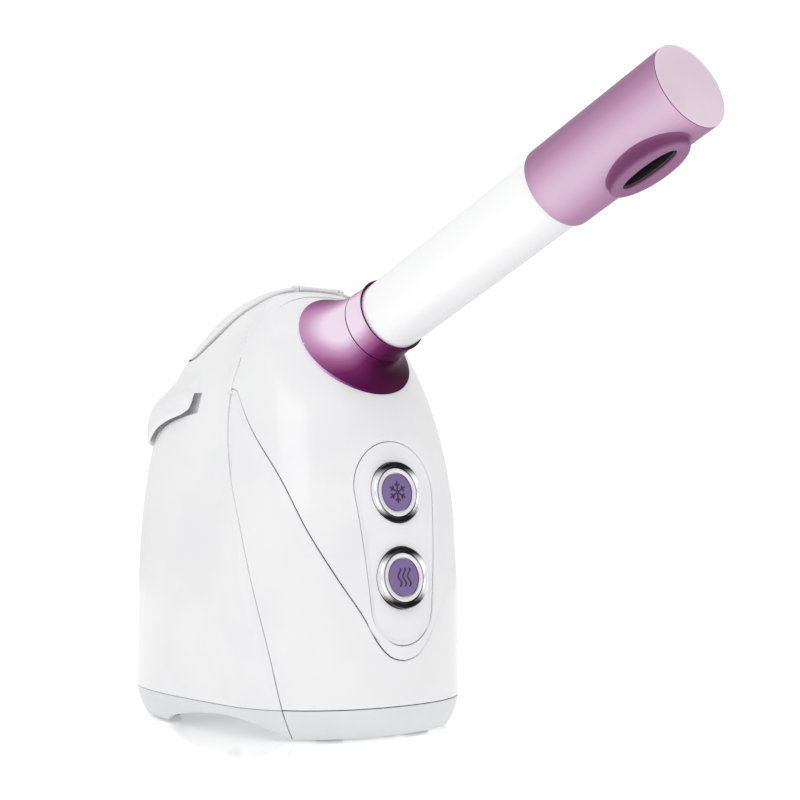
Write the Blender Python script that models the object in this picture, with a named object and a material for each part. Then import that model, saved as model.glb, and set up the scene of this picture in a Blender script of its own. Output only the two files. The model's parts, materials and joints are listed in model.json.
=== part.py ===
# Facial steamer with hot and cool mist, a telescopic arm and a turning nozzle.
# Shapes are worked out in millimetres and scaled to metres when a mesh is made.
# The frame: +Z up, the arm points to -Y, the origin is under the middle of the whole object.

import math

import bmesh
import bpy
from mathutils import Matrix, Vector

MM = 0.001
GAP = 0.3
MERGE = 0.001

# The body is a stack of level sections. Each closes to the top by its own power curve.
BODY_BASE = 13.7
BODY_TOP = 198.8
APEX_Y = 66.2
FRONT_Y = 1.4
BACK_Y = 167.1
HALF_WIDTH = 58.0
FRONT_POWERS = (3.4, 0.80)
BACK_POWERS = (4.2, 0.63)
WIDTH_POWERS = (2.7, 0.325)
WIDEST_PART = 0.303
FRONT_ROUNDNESS = 2.2
BACK_ROUNDNESS = 3.25
BODY_SIDES = 36
BODY_LEVELS = 12
HOLLOW_SIDES = 26
HOLLOW_LEVELS = 8
WALL = 2.4

# The line between the front and rear housings, seen from the side, as (y, z).
SEAM = [(18.5, -4), (22.6, 14), (30, 45), (44.5, 88), (57, 117), (63.5, 143), (62.5, 165), (58.6, 182),
        (59.5, 206)]

# The raised front fascia's lower edge, seen from the front, as (x, z), right half.
FASCIA_EDGE = [(0, 33), (7, 34.8), (13.5, 41), (21, 53.5), (31, 69), (40.7, 89), (47, 112), (50.5, 135),
               (54, 152)]
FASCIA_RAISE = 0.8
FASCIA_DEPTH = 2.2

# The control panel is a tapered obround sunk into the fascia.
PANEL_TOP_Z = 105.2
PANEL_TOP_R = 21.5
PANEL_LOW_Z = 56.0
PANEL_LOW_R = 16.6
PANEL_SINK = 0.6

# The two push-buttons lean back with the front of the body.
COOL_BUTTON = (0, 6.5, 104.8)
HOT_BUTTON = (0, 1.9, 68.3)
BEZEL_R = 13.3
BUTTON_R = 10.6
BUTTON_BORE_R = 10.9
INSET_R = 8.2

# The arm slides out of the collar along one axis, which starts at the collar's lip.
ARM_START = Vector((0, 10.9, 182.0))
ARM_RISE = math.radians(21.9)
ARM_AXIS = Vector((0, -math.cos(ARM_RISE), math.sin(ARM_RISE)))
ARM_R = 15.9
ARM_WALL = 2.2
ARM_INNER_END = -48.0
ARM_TRAVEL = 45.0
HEAD_START = 111.0
HEAD_END = 183.6
HEAD_R = 17.4
SPOUT_ALONG = 157.0
SPOUT_TURN = math.radians(10)
SPOUT_HALF_LENGTH = 19.5
SPOUT_HALF_WIDTH = 8.6
SPOUT_REACH = 21.2
SLOT_HALF_LENGTH = 13.5
SLOT_HALF_WIDTH = 3.2

# The collar's skirt spreads onto the sloping front of the body.
SKIRT_CENTRE = Vector((0, 36.65, 169.75))
SKIRT_R = 28.4
SKIRT_RISE = math.radians(38.4)
SKIRT_AXIS = Vector((0, -math.cos(SKIRT_RISE), math.sin(SKIRT_RISE)))
COLLAR_SPLIT = -10.3
COLLAR_MID_R = 17.4

# The filling lid, seen from above, as (x, y), right half.
LID_EDGE = [(0, 62.6), (13.7, 62.7), (22, 64.6), (28, 70), (33.5, 79.5), (38, 89), (40, 100), (39.5, 109),
            (36.5, 117), (30, 124), (20, 128.5), (0, 130)]
LID_RAISE = 1.0
LID_PIVOT = (0, 64.4, 198.6)
BARREL_R = 1.2
PIN_R = 0.6
PIN_HOLE_R = 0.78

# The rear grip, as (distance out of the body, z), and how its lower edge rises towards the sides, as (y, rise).
GRIP_PROFILE = [(-1.2, 158), (0.2, 157.4), (1.7, 153.5), (3.9, 149), (5.0, 144.5), (5.2, 139), (4.7, 134.6),
                (3.7, 130.2), (2.4, 126.6), (1.8, 128.4), (2.2, 141), (2.0, 149.4), (-1.2, 151.6)]
GRIP_LEVEL = 145.0
GRIP_END_Y = 92.0
GRIP_TOP = 152.0
GRIP_BLEND = 20.0
GRIP_RISE = [(80, 15.4), (92, 14.4), (103, 13.1), (115, 10.8), (125, 7.6), (135, 3.4), (148, 0.5), (170, 0)]
SLOT_END_Y = 88.5
SLOT_LOW = 125.4
SLOT_HIGH = 150.2
SLOT_OUT = 1.4
POCKET_DIP = 11.0
POCKET_DEPTH = 11.0
POCKET_END_DEPTH = 5.0

FOOT_PLACES = [(-24, 23), (24, 23), (-38, 130), (38, 130)]
SCREW_PLACES = [(-44, 66), (44, 66), (-22, 146), (22, 146)]

TANK_INSET = 15.5
TANK_FRONT = 114.5
TANK_LOW = 44.0
TANK_HIGH = 150.0
BOILER_AT = (0, 86)
STEAM_RISER_Y = 105.5
ELBOW_BEND_R = 8.2
ELBOW_BEND_Z = 138.6
CHAMBER_AT = (-39.5, 84)
FAN_AT = Vector((-36, 51, 47))

LOOKS = {
    "white_gloss": ((0.92, 0.92, 0.93), 0.18, 0.0),
    "panel_grey": ((0.86, 0.86, 0.88), 0.3, 0.0),
    "trim_grey": ((0.72, 0.73, 0.75), 0.35, 0.0),
    "pearl_purple": ((0.50, 0.20, 0.42), 0.25, 0.6),
    "pearl_lilac": ((0.70, 0.45, 0.65), 0.28, 0.5),
    "cap_lilac": ((0.84, 0.76, 0.80), 0.35, 0.2),
    "chrome": ((0.85, 0.85, 0.87), 0.08, 1.0),
    "satin_silver": ((0.80, 0.80, 0.82), 0.3, 0.8),
    "button_purple": ((0.28, 0.18, 0.36), 0.4, 0.0),
    "black_plastic": ((0.03, 0.03, 0.03), 0.5, 0.0),
    "rubber": ((0.05, 0.05, 0.055), 0.8, 0.0),
    "silicone": ((0.85, 0.85, 0.83), 0.6, 0.0),
    "clear_tank": ((0.78, 0.86, 0.92), 0.1, 0.0),
    "aluminium": ((0.75, 0.75, 0.76), 0.4, 1.0),
    "steel": ((0.62, 0.62, 0.63), 0.3, 1.0),
    "brass": ((0.80, 0.62, 0.30), 0.3, 1.0),
    "board_green": ((0.05, 0.28, 0.12), 0.5, 0.0),
}


def clear_scene():
    for old in list(bpy.data.objects):
        bpy.data.objects.remove(old)


def material(look):
    found = bpy.data.materials.get(look)
    if found:
        return found
    colour, roughness, metallic = LOOKS[look]
    made = bpy.data.materials.new(look)
    made.use_nodes = True
    shader = made.node_tree.nodes["Principled BSDF"]
    shader.inputs["Base Color"].default_value = (*colour, 1)
    shader.inputs["Roughness"].default_value = roughness
    shader.inputs["Metallic"].default_value = metallic
    return made


def solid(name, form, look=None):
    # A piece in metres from a form in millimetres. With no look it is a cutter.
    bmesh.ops.scale(form, vec=(MM, MM, MM), verts=form.verts)
    bmesh.ops.recalc_face_normals(form, faces=form.faces)
    mesh = bpy.data.meshes.new(name)
    form.to_mesh(mesh)
    form.free()
    piece = bpy.data.objects.new(name, mesh)
    bpy.context.collection.objects.link(piece)
    if look is None:
        piece.hide_render = True
        piece.display_type = "WIRE"
    else:
        mesh.materials.append(material(look))
        mesh.shade_smooth()
        mesh.set_sharp_from_angle(angle=math.radians(35))
    return piece


def joined_rings(rings, closed=False):
    # A form skinned over level rings of points; its two ends are filled unless it closes on itself.
    form = bmesh.new()
    rows = [[form.verts.new(point) for point in ring] for ring in rings]
    pairs = list(zip(rows, rows[1:]))
    if closed:
        pairs.append((rows[-1], rows[0]))
    else:
        form.faces.new(rows[0])
        form.faces.new(reversed(rows[-1]))
    for low, high in pairs:
        for side in range(len(low)):
            form.faces.new((low[side - 1], low[side], high[side], high[side - 1]))
    return form


def combine(piece, tool, operation="DIFFERENCE"):
    step = piece.modifiers.new(operation.lower(), "BOOLEAN")
    step.operation = operation
    step.solver = "EXACT"
    step.object = tool
    return piece


def smooth_points(points, steps):
    # A Catmull-Rom curve through the points, with a number of steps between each two.
    ends = [points[0]] + list(points) + [points[-1]]
    curve = []
    for index in range(1, len(ends) - 2):
        before, start, end, after = (Vector(ends[index + shift]) for shift in (-1, 0, 1, 2))
        for step in range(steps):
            t = step / steps
            curve.append(0.5 * (2 * start + (end - before) * t + (2 * before - 5 * start + 4 * end - after) * t ** 2
                                + (3 * start - before - 3 * end + after) * t ** 3))
    curve.append(Vector(points[-1]))
    return curve


def mirrored(half):
    # A closed outline from its right half, whose first and last points lie on x = 0.
    return list(half) + [(-x, other) for x, other in reversed(half[1:-1])]


# ---- the body's own shape ----

def closing(level, powers):
    return (1 - min(level, 1) ** powers[0]) ** powers[1]


def section(z, inset=0.0):
    # Half width, front, back and widest line of the body at a height, shrunk all round by the inset.
    level = (z - BODY_BASE) / (BODY_TOP - inset - BODY_BASE)
    level = min(max(level, 0), 1)
    front = APEX_Y - (APEX_Y - FRONT_Y - inset) * closing(level, FRONT_POWERS)
    back = APEX_Y + (BACK_Y - inset - APEX_Y) * closing(level, BACK_POWERS)
    width = (HALF_WIDTH - inset) * closing(level, WIDTH_POWERS)
    return width, front, back, front + WIDEST_PART * (back - front)


def body_point(angle, z, inset=0.0):
    # Angles below zero run round the front, above zero round the back.
    width, front, back, widest = section(z, inset)
    across, along = math.cos(angle), math.sin(angle)
    roundness = FRONT_ROUNDNESS if along < 0 else BACK_ROUNDNESS
    reach = widest - front if along < 0 else back - widest
    x = width * math.copysign(abs(across) ** (2 / roundness), across)
    y = widest + reach * math.copysign(abs(along) ** (2 / roundness), along)
    return x, y, z


def front_surface(x, z, inset=0.0):
    # The y of the body's front surface at x and z.
    width, front, back, widest = section(z, inset)
    part = max(1 - abs(x / width) ** FRONT_ROUNDNESS, 0) if width > 0 else 0
    return widest - (widest - front) * part ** (1 / FRONT_ROUNDNESS)


def back_angle(y, z):
    # The section angle at which the right-hand side of the body reaches y.
    width, front, back, widest = section(z)
    part = min(max((y - widest) / (back - widest), 0), 1)
    return math.asin(part ** (BACK_ROUNDNESS / 2))


def body_form(name, inset, low=BODY_BASE, look=None, sides=BODY_SIDES, levels=BODY_LEVELS, high=None):
    top = BODY_TOP - inset
    heights = [BODY_BASE + (top - BODY_BASE) * math.sin(math.pi / 2 * step / levels) for step in range(levels)]
    if high is not None:
        heights = [z for z in heights if z < high - 1] + [high]
    if low < BODY_BASE:
        heights = [low] + heights
    form = joined_rings([[body_point(2 * math.pi * side / sides, z,
                                     inset) for side in range(sides)] for z in heights])
    if high is None:
        form.faces.ensure_lookup_table()
        crown = bmesh.ops.poke(form, faces=[max(form.faces, key=lambda face: face.calc_center_median().z)])
        crown["verts"][0].co = (0, APEX_Y, top)
    return solid(name, form, look)


def body_hollow(name, inset):
    # A cutter that leaves a wall of the inset and is open below.
    return body_form(name, inset, low=BODY_BASE - 3, sides=HOLLOW_SIDES, levels=HOLLOW_LEVELS)


# ---- general forms ----

def prism(name, outline, low, high, place, look=None):
    # An outline swept straight; place turns its two values and the sweep's value into a point.
    form = bmesh.new()
    start = form.faces.new([form.verts.new(place(u, v, low)) for u, v in outline])
    swept = bmesh.ops.extrude_face_region(form, geom=[start])
    moved = [item for item in swept["geom"] if isinstance(item, bmesh.types.BMVert)]
    bmesh.ops.translate(form, vec=Vector(place(0, 0, high)) - Vector(place(0, 0, low)), verts=moved)
    return solid(name, form, look)


def along_x(u, v, sweep):
    return sweep, u, v


def along_y(u, v, sweep):
    return u, sweep, v


def along_z(u, v, sweep):
    return u, v, sweep


def block(name, low, high, look=None):
    low, high = Vector(low), Vector(high)
    form = bmesh.new()
    made = Matrix.Translation((low + high) / 2) @ Matrix.Diagonal(high - low).to_4x4()
    bmesh.ops.create_cube(form, size=1, matrix=made)
    return solid(name, form, look)


def rounded_outline(half_x, half_y, radius, centre=(0, 0), steps=3):
    outline = []
    for corner in range(4):
        sign_x = (1, -1, -1, 1)[corner]
        sign_y = (1, 1, -1, -1)[corner]
        for step in range(steps + 1):
            turn = math.radians(90 * corner + 90 * step / steps)
            outline.append((centre[0] + sign_x * (half_x - radius) + radius * math.cos(turn),
                            centre[1] + sign_y * (half_y - radius) + radius * math.sin(turn)))
    return outline


def turned(name, profile, base, axis, look=None, sides=24, ring=False):
    # A profile of (radius, distance along the axis) turned about the axis through base.
    axis = Vector(axis).normalized()
    side_way = Vector((1, 0, 0)) if abs(axis.x) < 0.9 else Vector((0, 1, 0))
    side_way = (side_way - axis * side_way.dot(axis)).normalized()
    turn = Matrix((side_way, axis.cross(side_way), axis)).transposed().to_4x4()
    form = bmesh.new()
    corners = [form.verts.new((radius, 0, distance)) for radius, distance in profile]
    lines = [form.edges.new(pair) for pair in zip(corners, corners[1:])]
    if ring:
        lines.append(form.edges.new((corners[-1], corners[0])))
    bmesh.ops.spin(form, geom=corners + lines, cent=(0, 0, 0), axis=(0, 0, 1), angle=2 * math.pi, steps=sides)
    bmesh.ops.remove_doubles(form, verts=form.verts, dist=MERGE)
    bmesh.ops.holes_fill(form, edges=form.edges, sides=0)
    form.transform(Matrix.Translation(Vector(base)) @ turn)
    return solid(name, form, look)


def swept_pipe(name, path, outer, inner, look, sides=12):
    # A hollow pipe of even wall along a smooth path.
    path = [Vector(point) for point in path]
    rings = []
    side_way = None
    for index, middle in enumerate(path):
        ahead = path[min(index + 1, len(path) - 1)] - path[max(index - 1, 0)]
        ahead.normalize()
        if side_way is None:
            side_way = ahead.orthogonal()
        side_way = (side_way - ahead * side_way.dot(ahead)).normalized()
        other_way = ahead.cross(side_way)
        for radius in (outer, inner):
            rings.append([middle + (side_way * math.cos(2 * math.pi * k / sides)
                                    + other_way * math.sin(2 * math.pi * k / sides)) * radius for k in range(sides)])
    return solid(name, joined_rings(rings[0::2] + rings[1::2][::-1], closed=True), look)


def section_ring(name, profile, look=None, sides=BODY_SIDES):
    # A closed profile of (inset, z) carried all round the body's lowest section.
    rings = []
    for inset, z in profile:
        rings.append([(*body_point(2 * math.pi * side / sides, BODY_BASE, inset)[:2],
                       z) for side in range(sides)])
    return solid(name, joined_rings(rings, closed=True), look)


def back_sweep(name, profile, end_y, shape, look=None, steps=18):
    # A closed profile of (distance out, z) carried round the back from side to side.
    # shape(angle, out, z) changes the profile on the way.
    first = back_angle(end_y, GRIP_LEVEL)
    rings = []
    for step in range(steps + 1):
        angle = first + (math.pi - 2 * first) * step / steps
        shaped = [shape(angle, *place) for place in profile]
        rings.append([body_point(angle, z, -out) for out, z in shaped])
    return solid(name, joined_rings(rings), look)


def seam_side(name, front, shift):
    # Everything before or behind the seam, moved along y by the shift.
    curve = [(y + shift, z) for y, z in smooth_points(SEAM, 4)]
    far = -40 if front else 230
    outline = curve + [(far, SEAM[-1][1]), (far, SEAM[0][1])]
    return prism(name, outline, -90, 90, along_x)


def fascia_outline(grow):
    half = [(x, z) for x, z in smooth_points(FASCIA_EDGE, 3)]
    grown = []
    for index, (x, z) in enumerate(half):
        before, after = half[max(index - 1, 0)], half[min(index + 1, len(half) - 1)]
        run = Vector((after[0] - before[0], after[1] - before[1])).normalized()
        grown.append((max(x + run.y * grow, 0), z - run.x * grow))
    grown[0] = (0, grown[0][1])
    return mirrored(grown + [(70, 160), (70, 215), (0, 215)])


def panel_outline(grow):
    # Two arcs of different radius joined by their common tangents.
    lean = math.asin((PANEL_TOP_R - PANEL_LOW_R) / (PANEL_TOP_Z - PANEL_LOW_Z))
    outline = []
    for step in range(13):
        turn = -lean + (math.pi + 2 * lean) * step / 12
        outline.append(((PANEL_TOP_R + grow) * math.cos(turn),
                        PANEL_TOP_Z + (PANEL_TOP_R + grow) * math.sin(turn)))
    for step in range(11):
        turn = math.pi + lean + (math.pi - 2 * lean) * step / 10
        outline.append(((PANEL_LOW_R + grow) * math.cos(turn),
                        PANEL_LOW_Z + (PANEL_LOW_R + grow) * math.sin(turn)))
    return outline


def lid_outline(grow):
    middle = Vector((0, 99))
    outline = []
    for x, y in mirrored(LID_EDGE):
        away = Vector((x, y)) - middle
        outline.append(tuple(middle + away * (1 + grow / away.length)))
    return outline


# ---- casing ----

def make_front_housing():
    housing = body_form("front_housing", 0, look="white_gloss")
    combine(housing, body_hollow("cut_front_hollow", WALL))
    combine(housing, seam_side("keep_front", True, -GAP / 2), "INTERSECT")
    combine(housing, prism("cut_fascia_gap", fascia_outline(GAP), -40, 80, along_y))


def make_front_fascia():
    fascia = body_form("front_fascia", -FASCIA_RAISE, look="white_gloss")
    combine(fascia, body_hollow("cut_fascia_hollow", FASCIA_DEPTH))
    combine(fascia, seam_side("keep_fascia_front", True, -GAP / 2), "INTERSECT")
    combine(fascia, prism("keep_fascia", fascia_outline(0), -40, 79, along_y), "INTERSECT")
    combine(fascia, prism("cut_panel_gap", panel_outline(GAP), -40, 45, along_y))
    combine(fascia, turned("cut_arm_way", [(18.9, -70), (18.9, 20)], ARM_START, ARM_AXIS))


def make_control_panel():
    panel = body_form("control_panel", PANEL_SINK, look="panel_grey")
    combine(panel, body_hollow("cut_panel_hollow", PANEL_SINK + 2.2))
    combine(panel, prism("keep_panel", panel_outline(0), -40, 40, along_y), "INTERSECT")
    for name, place in (("cool", COOL_BUTTON), ("hot", HOT_BUTTON)):
        combine(panel, turned("cut_" + name, [(BEZEL_R + GAP, -12), (BEZEL_R + GAP, 9)], place,
                              button_axis()))


def grip_shape(angle, out, z):
    # The grip's lower half rises towards its side ends.
    y = body_point(angle, GRIP_LEVEL)[1]
    curve = smooth_points(GRIP_RISE, 4)
    rise = next(low.y + (high.y - low.y) * (y - low.x) / (high.x - low.x)
                for low, high in zip(curve, curve[1:]) if y <= high.x)
    return out, z + rise * min(max((GRIP_TOP - z) / GRIP_BLEND, 0), 1)


def slot_shape(angle, out, z):
    # The finger slot's lower edge follows the grip's and dips in the middle of the back.
    if z > GRIP_LEVEL:
        return out, z
    return out, grip_shape(angle, out, z)[1] - POCKET_DIP * max(0, math.sin(angle)) ** 16


def pocket_shape(angle, out, z):
    # The pocket behind the slot is deepest in the middle of the back.
    deepest = POCKET_END_DEPTH + (POCKET_DEPTH - POCKET_END_DEPTH) * max(0, math.sin(angle)) ** 6
    if out <= -POCKET_DEPTH:
        out += POCKET_DEPTH - deepest
    return slot_shape(angle, out, z)


def make_rear_housing():
    housing = body_form("rear_housing", 0, look="white_gloss")
    combine(housing, body_hollow("cut_rear_hollow", WALL))
    combine(housing, seam_side("keep_rear", False, GAP / 2), "INTERSECT")
    combine(housing, prism("cut_lid_gap", lid_outline(0.35), 120, 220, along_z))
    combine(housing, back_sweep("join_grip", GRIP_PROFILE, GRIP_END_Y, grip_shape), "UNION")
    slot = [(-6, SLOT_LOW), (SLOT_OUT, SLOT_LOW), (SLOT_OUT, SLOT_HIGH), (-6, SLOT_HIGH)]
    combine(housing, back_sweep("cut_finger_slot", slot, SLOT_END_Y, slot_shape, steps=20))
    for side in (-1, 1):
        inner, outer = sorted((side * 11.5, side * 14.3))
        combine(housing, block("join_ear", (inner, 60.9, 195.9), (outer, 66.0, 199.5)), "UNION")
    combine(housing, turned("cut_ear_hole", [(PIN_HOLE_R, -14.8), (PIN_HOLE_R, 14.8)], LID_PIVOT,
                            (1, 0, 0), sides=10))
    combine(housing, block("cut_inlet", (-12, 150, 24), (12, 180, 39)))


def make_tank_lid():
    lid = body_form("tank_lid", -LID_RAISE, look="white_gloss")
    combine(lid, body_hollow("cut_lid_hollow", 1.2))
    combine(lid, prism("keep_lid", lid_outline(0), 130, 220, along_z), "INTERSECT")
    combine(lid, turned("join_barrel", [(BARREL_R, -10.9), (BARREL_R, 10.9)], LID_PIVOT, (1, 0, 0),
                        sides=12), "UNION")
    for side in (-1, 1):
        inner, outer = sorted((side * 11.2, side * 14.8))
        combine(lid, block("cut_ear_way", (inner, 61.5, 190), (outer, 66.6, 203)))
    combine(lid, turned("cut_barrel_hole", [(PIN_HOLE_R, -16), (PIN_HOLE_R, 16)], LID_PIVOT, (1, 0, 0),
                        sides=10))
    turned("lid_hinge_pin", [(PIN_R, -14.2), (PIN_R, 14.2)], LID_PIVOT, (1, 0, 0), "steel", sides=10)


def make_grip_liner():
    low, high, wall = SLOT_LOW - 1.1, SLOT_HIGH + 1, 1.8
    liner = [(-4.2, low), (-4.2, low - wall), (-POCKET_DEPTH - wall, low - wall),
             (-POCKET_DEPTH - wall, high + wall),
             (-4.2, high + wall), (-4.2, high), (-POCKET_DEPTH, high), (-POCKET_DEPTH, low)]
    back_sweep("grip_liner", liner, SLOT_END_Y - 4, pocket_shape, "white_gloss", steps=16)


def make_base():
    band = [(0.3, 13.4), (1.0, 9.5), (2.4, 5.0), (4.6, 1.0), (7.0, 1.0), (4.8, 5.0), (3.4, 9.5), (2.7, 13.4)]
    arch = [(24, -2), (27, 3.2), (35, 7), (46, 9), (58, 9.3), (76, 8), (92, 5.8), (106, 2.8), (114, -2)]
    ways = prism("cut_arches", arch, -90, 90, along_x)
    for name, front in (("front_base_trim", True), ("rear_base_trim", False)):
        trim = section_ring(name, band, "trim_grey")
        shift = -GAP / 2 if front else GAP / 2
        combine(trim, seam_side("keep_" + name, front, shift), "INTERSECT")
        combine(trim, ways)
    plate = section_ring_plate("base_plate", 3.9, 10.4, 12.8, "trim_grey")
    for place in SCREW_PLACES:
        combine(plate, turned("cut_screw_hole", [(1.75, 8), (1.75, 15)], (*place, 0), (0, 0, 1), sides=12))
    for place in FOOT_PLACES:
        post = turned("join_post", [(4.5, 3.2), (4.5, 11.5)], (*place, 0), (0, 0, 1), sides=16)
        combine(plate, post, "UNION")
    for index in range(5):
        x = -46 + 5 * index
        combine(plate, block("cut_vent", (x, 42, 8), (x + 2.2, 62, 15)))
    for name, place in zip(("front_left", "front_right", "rear_left", "rear_right"), FOOT_PLACES):
        turned("foot_" + name, [(5.2, 0), (5.8, 0.6), (5.8, 2.9), (0, 2.9)], (*place, 0), (0, 0, 1),
               "rubber", sides=16)


def section_ring_plate(name, inset, low, high, look):
    outline = [body_point(2 * math.pi * side / BODY_SIDES, BODY_BASE,
                          inset)[:2] for side in range(BODY_SIDES)]
    return prism(name, outline, low, high, along_z, look)


# ---- collar, arm and nozzle ----

def make_collar():
    sides = 30
    across = Vector((1, 0, 0))
    rows = []
    for turn in (2 * math.pi * side / sides for side in range(sides)):
        ring_up = SKIRT_AXIS.cross(across)
        arm_up = ARM_AXIS.cross(across)
        rim = SKIRT_CENTRE + (across * math.cos(turn) + ring_up * math.sin(turn)) * SKIRT_R
        base = onto_front(rim)
        mid = ARM_START + ARM_AXIS * COLLAR_SPLIT
        mid += (across * math.cos(turn) + arm_up * math.sin(turn)) * COLLAR_MID_R
        bend = mid - ARM_AXIS * 11
        lifted = base + SKIRT_AXIS * 1.2
        column = [base - SKIRT_AXIS * 5, lifted]
        for step in range(1, 6):
            t = step / 5
            column.append(lifted * (1 - t) ** 2 + bend * 2 * t * (1 - t) + mid * t ** 2)
        rows.append(column)
    skirt = solid("collar_skirt", joined_rings(zip(*rows)), "pearl_purple")
    combine(skirt, body_form("cut_skirt_seat", -FASCIA_RAISE - GAP))
    combine(skirt, turned("cut_skirt_bore", [(16.4, -60), (16.4, 5)], ARM_START, ARM_AXIS, sides=30))
    lip = [(16.25, COLLAR_SPLIT + GAP), (17.4, COLLAR_SPLIT + GAP), (16.9, -6), (16.8, -2), (17.2, 1.0),
           (16.25, 1.2)]
    turned("collar_ring", lip, ARM_START, ARM_AXIS, "pearl_purple", sides=30, ring=True)
    turned("arm_guide", [(16.4, -51), (18.4, -51), (18.4, -36), (16.4, -36)], ARM_START, ARM_AXIS,
           "black_plastic",
           sides=24, ring=True)


def onto_front(point):
    # The place on the fascia's surface met by moving a point along the skirt's axis.
    out = FASCIA_RAISE
    near, far = -30.0, 30.0
    for _ in range(40):
        middle = (near + far) / 2
        trial = point + SKIRT_AXIS * middle
        behind = trial.z < BODY_TOP + out and trial.y > front_surface(trial.x, trial.z, -out)
        if behind:
            near = middle
        else:
            far = middle
    return point + SKIRT_AXIS * near


def make_arm():
    tube = [(ARM_R - ARM_WALL, ARM_INNER_END), (ARM_R, ARM_INNER_END), (ARM_R, HEAD_START + 8),
            (ARM_R - ARM_WALL, HEAD_START + 8)]
    turned("arm_tube", tube, ARM_START, ARM_AXIS, "white_gloss", sides=32, ring=True)
    seal = [(ARM_R + 0.15, HEAD_START + 2), (ARM_R + 0.75, HEAD_START + 2), (ARM_R + 0.75, HEAD_START + 4),
            (ARM_R + 0.15, HEAD_START + 4)]
    turned("nozzle_seal", seal, ARM_START, ARM_AXIS, "rubber", sides=32, ring=True)


def spout_way():
    down = ARM_AXIS.cross(Vector((1, 0, 0)))
    if down.z > 0:
        down = -down
    return (down * math.cos(SPOUT_TURN) - Vector((1, 0, 0)) * math.sin(SPOUT_TURN)).normalized()


def spout_oval(name, half_length, half_width, low, high, flare, look=None, sides=26):
    # An oval column standing out of the nozzle; flare widens its low end.
    out = spout_way()
    across = ARM_AXIS.cross(out)
    middle = ARM_START + ARM_AXIS * SPOUT_ALONG
    rings = []
    for reach, grow in ((low, flare), (high, 0)):
        centre = middle + out * reach
        turns = [2 * math.pi * side / sides for side in range(sides)]
        rings.append([centre + ARM_AXIS * (half_length + grow) * math.cos(turn)
                      + across * (half_width + grow) * math.sin(turn) for turn in turns])
    return solid(name, joined_rings(rings), look)


def make_nozzle():
    head = [(HEAD_R - 0.55, HEAD_START), (HEAD_R - 0.15, HEAD_START), (HEAD_R, HEAD_START + 0.5),
            (HEAD_R, HEAD_END - 2.4),
            (HEAD_R - 1.0, HEAD_END - 0.4), (HEAD_R - 1.4, HEAD_END - 3), (HEAD_R - 2.0, HEAD_END - 3),
            (HEAD_R - 2.0, HEAD_START + 10), (HEAD_R - 3.2, HEAD_START + 10),
            (HEAD_R - 3.2, HEAD_START + 8.4),
            (HEAD_R - 0.55, HEAD_START + 8.4)]
    nozzle = turned("nozzle_head", head, ARM_START, ARM_AXIS, "pearl_lilac", sides=32, ring=True)
    combine(nozzle, spout_oval("cut_spout", SPOUT_HALF_LENGTH - 2.4, SPOUT_HALF_WIDTH - 1.9, 2, 30, 0))
    spout = spout_oval("mist_outlet", SPOUT_HALF_LENGTH, SPOUT_HALF_WIDTH, 10, SPOUT_REACH, 0.8,
                       "pearl_lilac")
    combine(spout, turned("cut_spout_seat", [(HEAD_R + GAP, HEAD_START - 5), (HEAD_R + GAP, HEAD_END + 5)],
                          ARM_START, ARM_AXIS, sides=32))
    combine(spout, spout_oval("cut_spout_way", SLOT_HALF_LENGTH, SLOT_HALF_WIDTH, 2, 30, 0))
    liner = spout_oval("outlet_liner", SPOUT_HALF_LENGTH - 2.8, SPOUT_HALF_WIDTH - 2.3, 12.6, HEAD_R - 1.7, 0,
                       "black_plastic")
    combine(liner, spout_oval("cut_liner_way", SLOT_HALF_LENGTH, SLOT_HALF_WIDTH, 2, 30, 0))
    cap = [(0, HEAD_END - 0.2), (HEAD_R - 1.7, HEAD_END - 0.5), (HEAD_R - 1.75, HEAD_END - 2.7),
           (0, HEAD_END - 2.7)]
    turned("nozzle_end_cap", cap, ARM_START, ARM_AXIS, "cap_lilac", sides=32)


# ---- buttons ----

def button_axis():
    rise = Vector(COOL_BUTTON) - Vector(HOT_BUTTON)
    return Vector((0, -rise.z, rise.y)).normalized()


def make_buttons():
    bezel = [(BUTTON_BORE_R, -7), (BEZEL_R, -7), (BEZEL_R, 0.6), (BEZEL_R - 1.0, 1.3), (BUTTON_BORE_R, 0.4)]
    cap = [(0, -0.9), (INSET_R + GAP, -0.9), (INSET_R + GAP, 0.0), (BUTTON_R - 0.4, 0.5), (BUTTON_R, 0.1),
           (BUTTON_R, -7.4),
           (12.1, -7.4), (12.1, -9.2), (3.0, -9.2), (3.0, -12.4), (0, -12.4)]
    disc = [(0, 0.15), (INSET_R, 0.0), (INSET_R, -0.6), (0, -0.6)]
    for name, place in (("cool", COOL_BUTTON), ("hot", HOT_BUTTON)):
        turned(name + "_bezel", bezel, place, button_axis(), "chrome", sides=28, ring=True)
        turned(name + "_button", cap, place, button_axis(), "satin_silver", sides=24)
        turned(name + "_button_inset", disc, place, button_axis(), "button_purple", sides=24)
        switch = [(0, -13.9), (1.7, -13.9), (1.7, -15.2), (3.4, -15.2), (3.4, -17.6), (0, -17.6)]
        turned(name + "_switch", switch, place, button_axis(), "black_plastic", sides=12)
    middle = (Vector(COOL_BUTTON) + Vector(HOT_BUTTON)) / 2
    out, up = button_axis(), Vector((1, 0, 0)).cross(button_axis())
    outline = rounded_outline(14, 31, 3, steps=1)
    prism("button_board", outline, -17.9, -19.5, lambda u, v,
          w: middle + Vector((u, 0, 0)) + up * v + out * w, "board_green")


# ---- water, steam and cool mist ----

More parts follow.
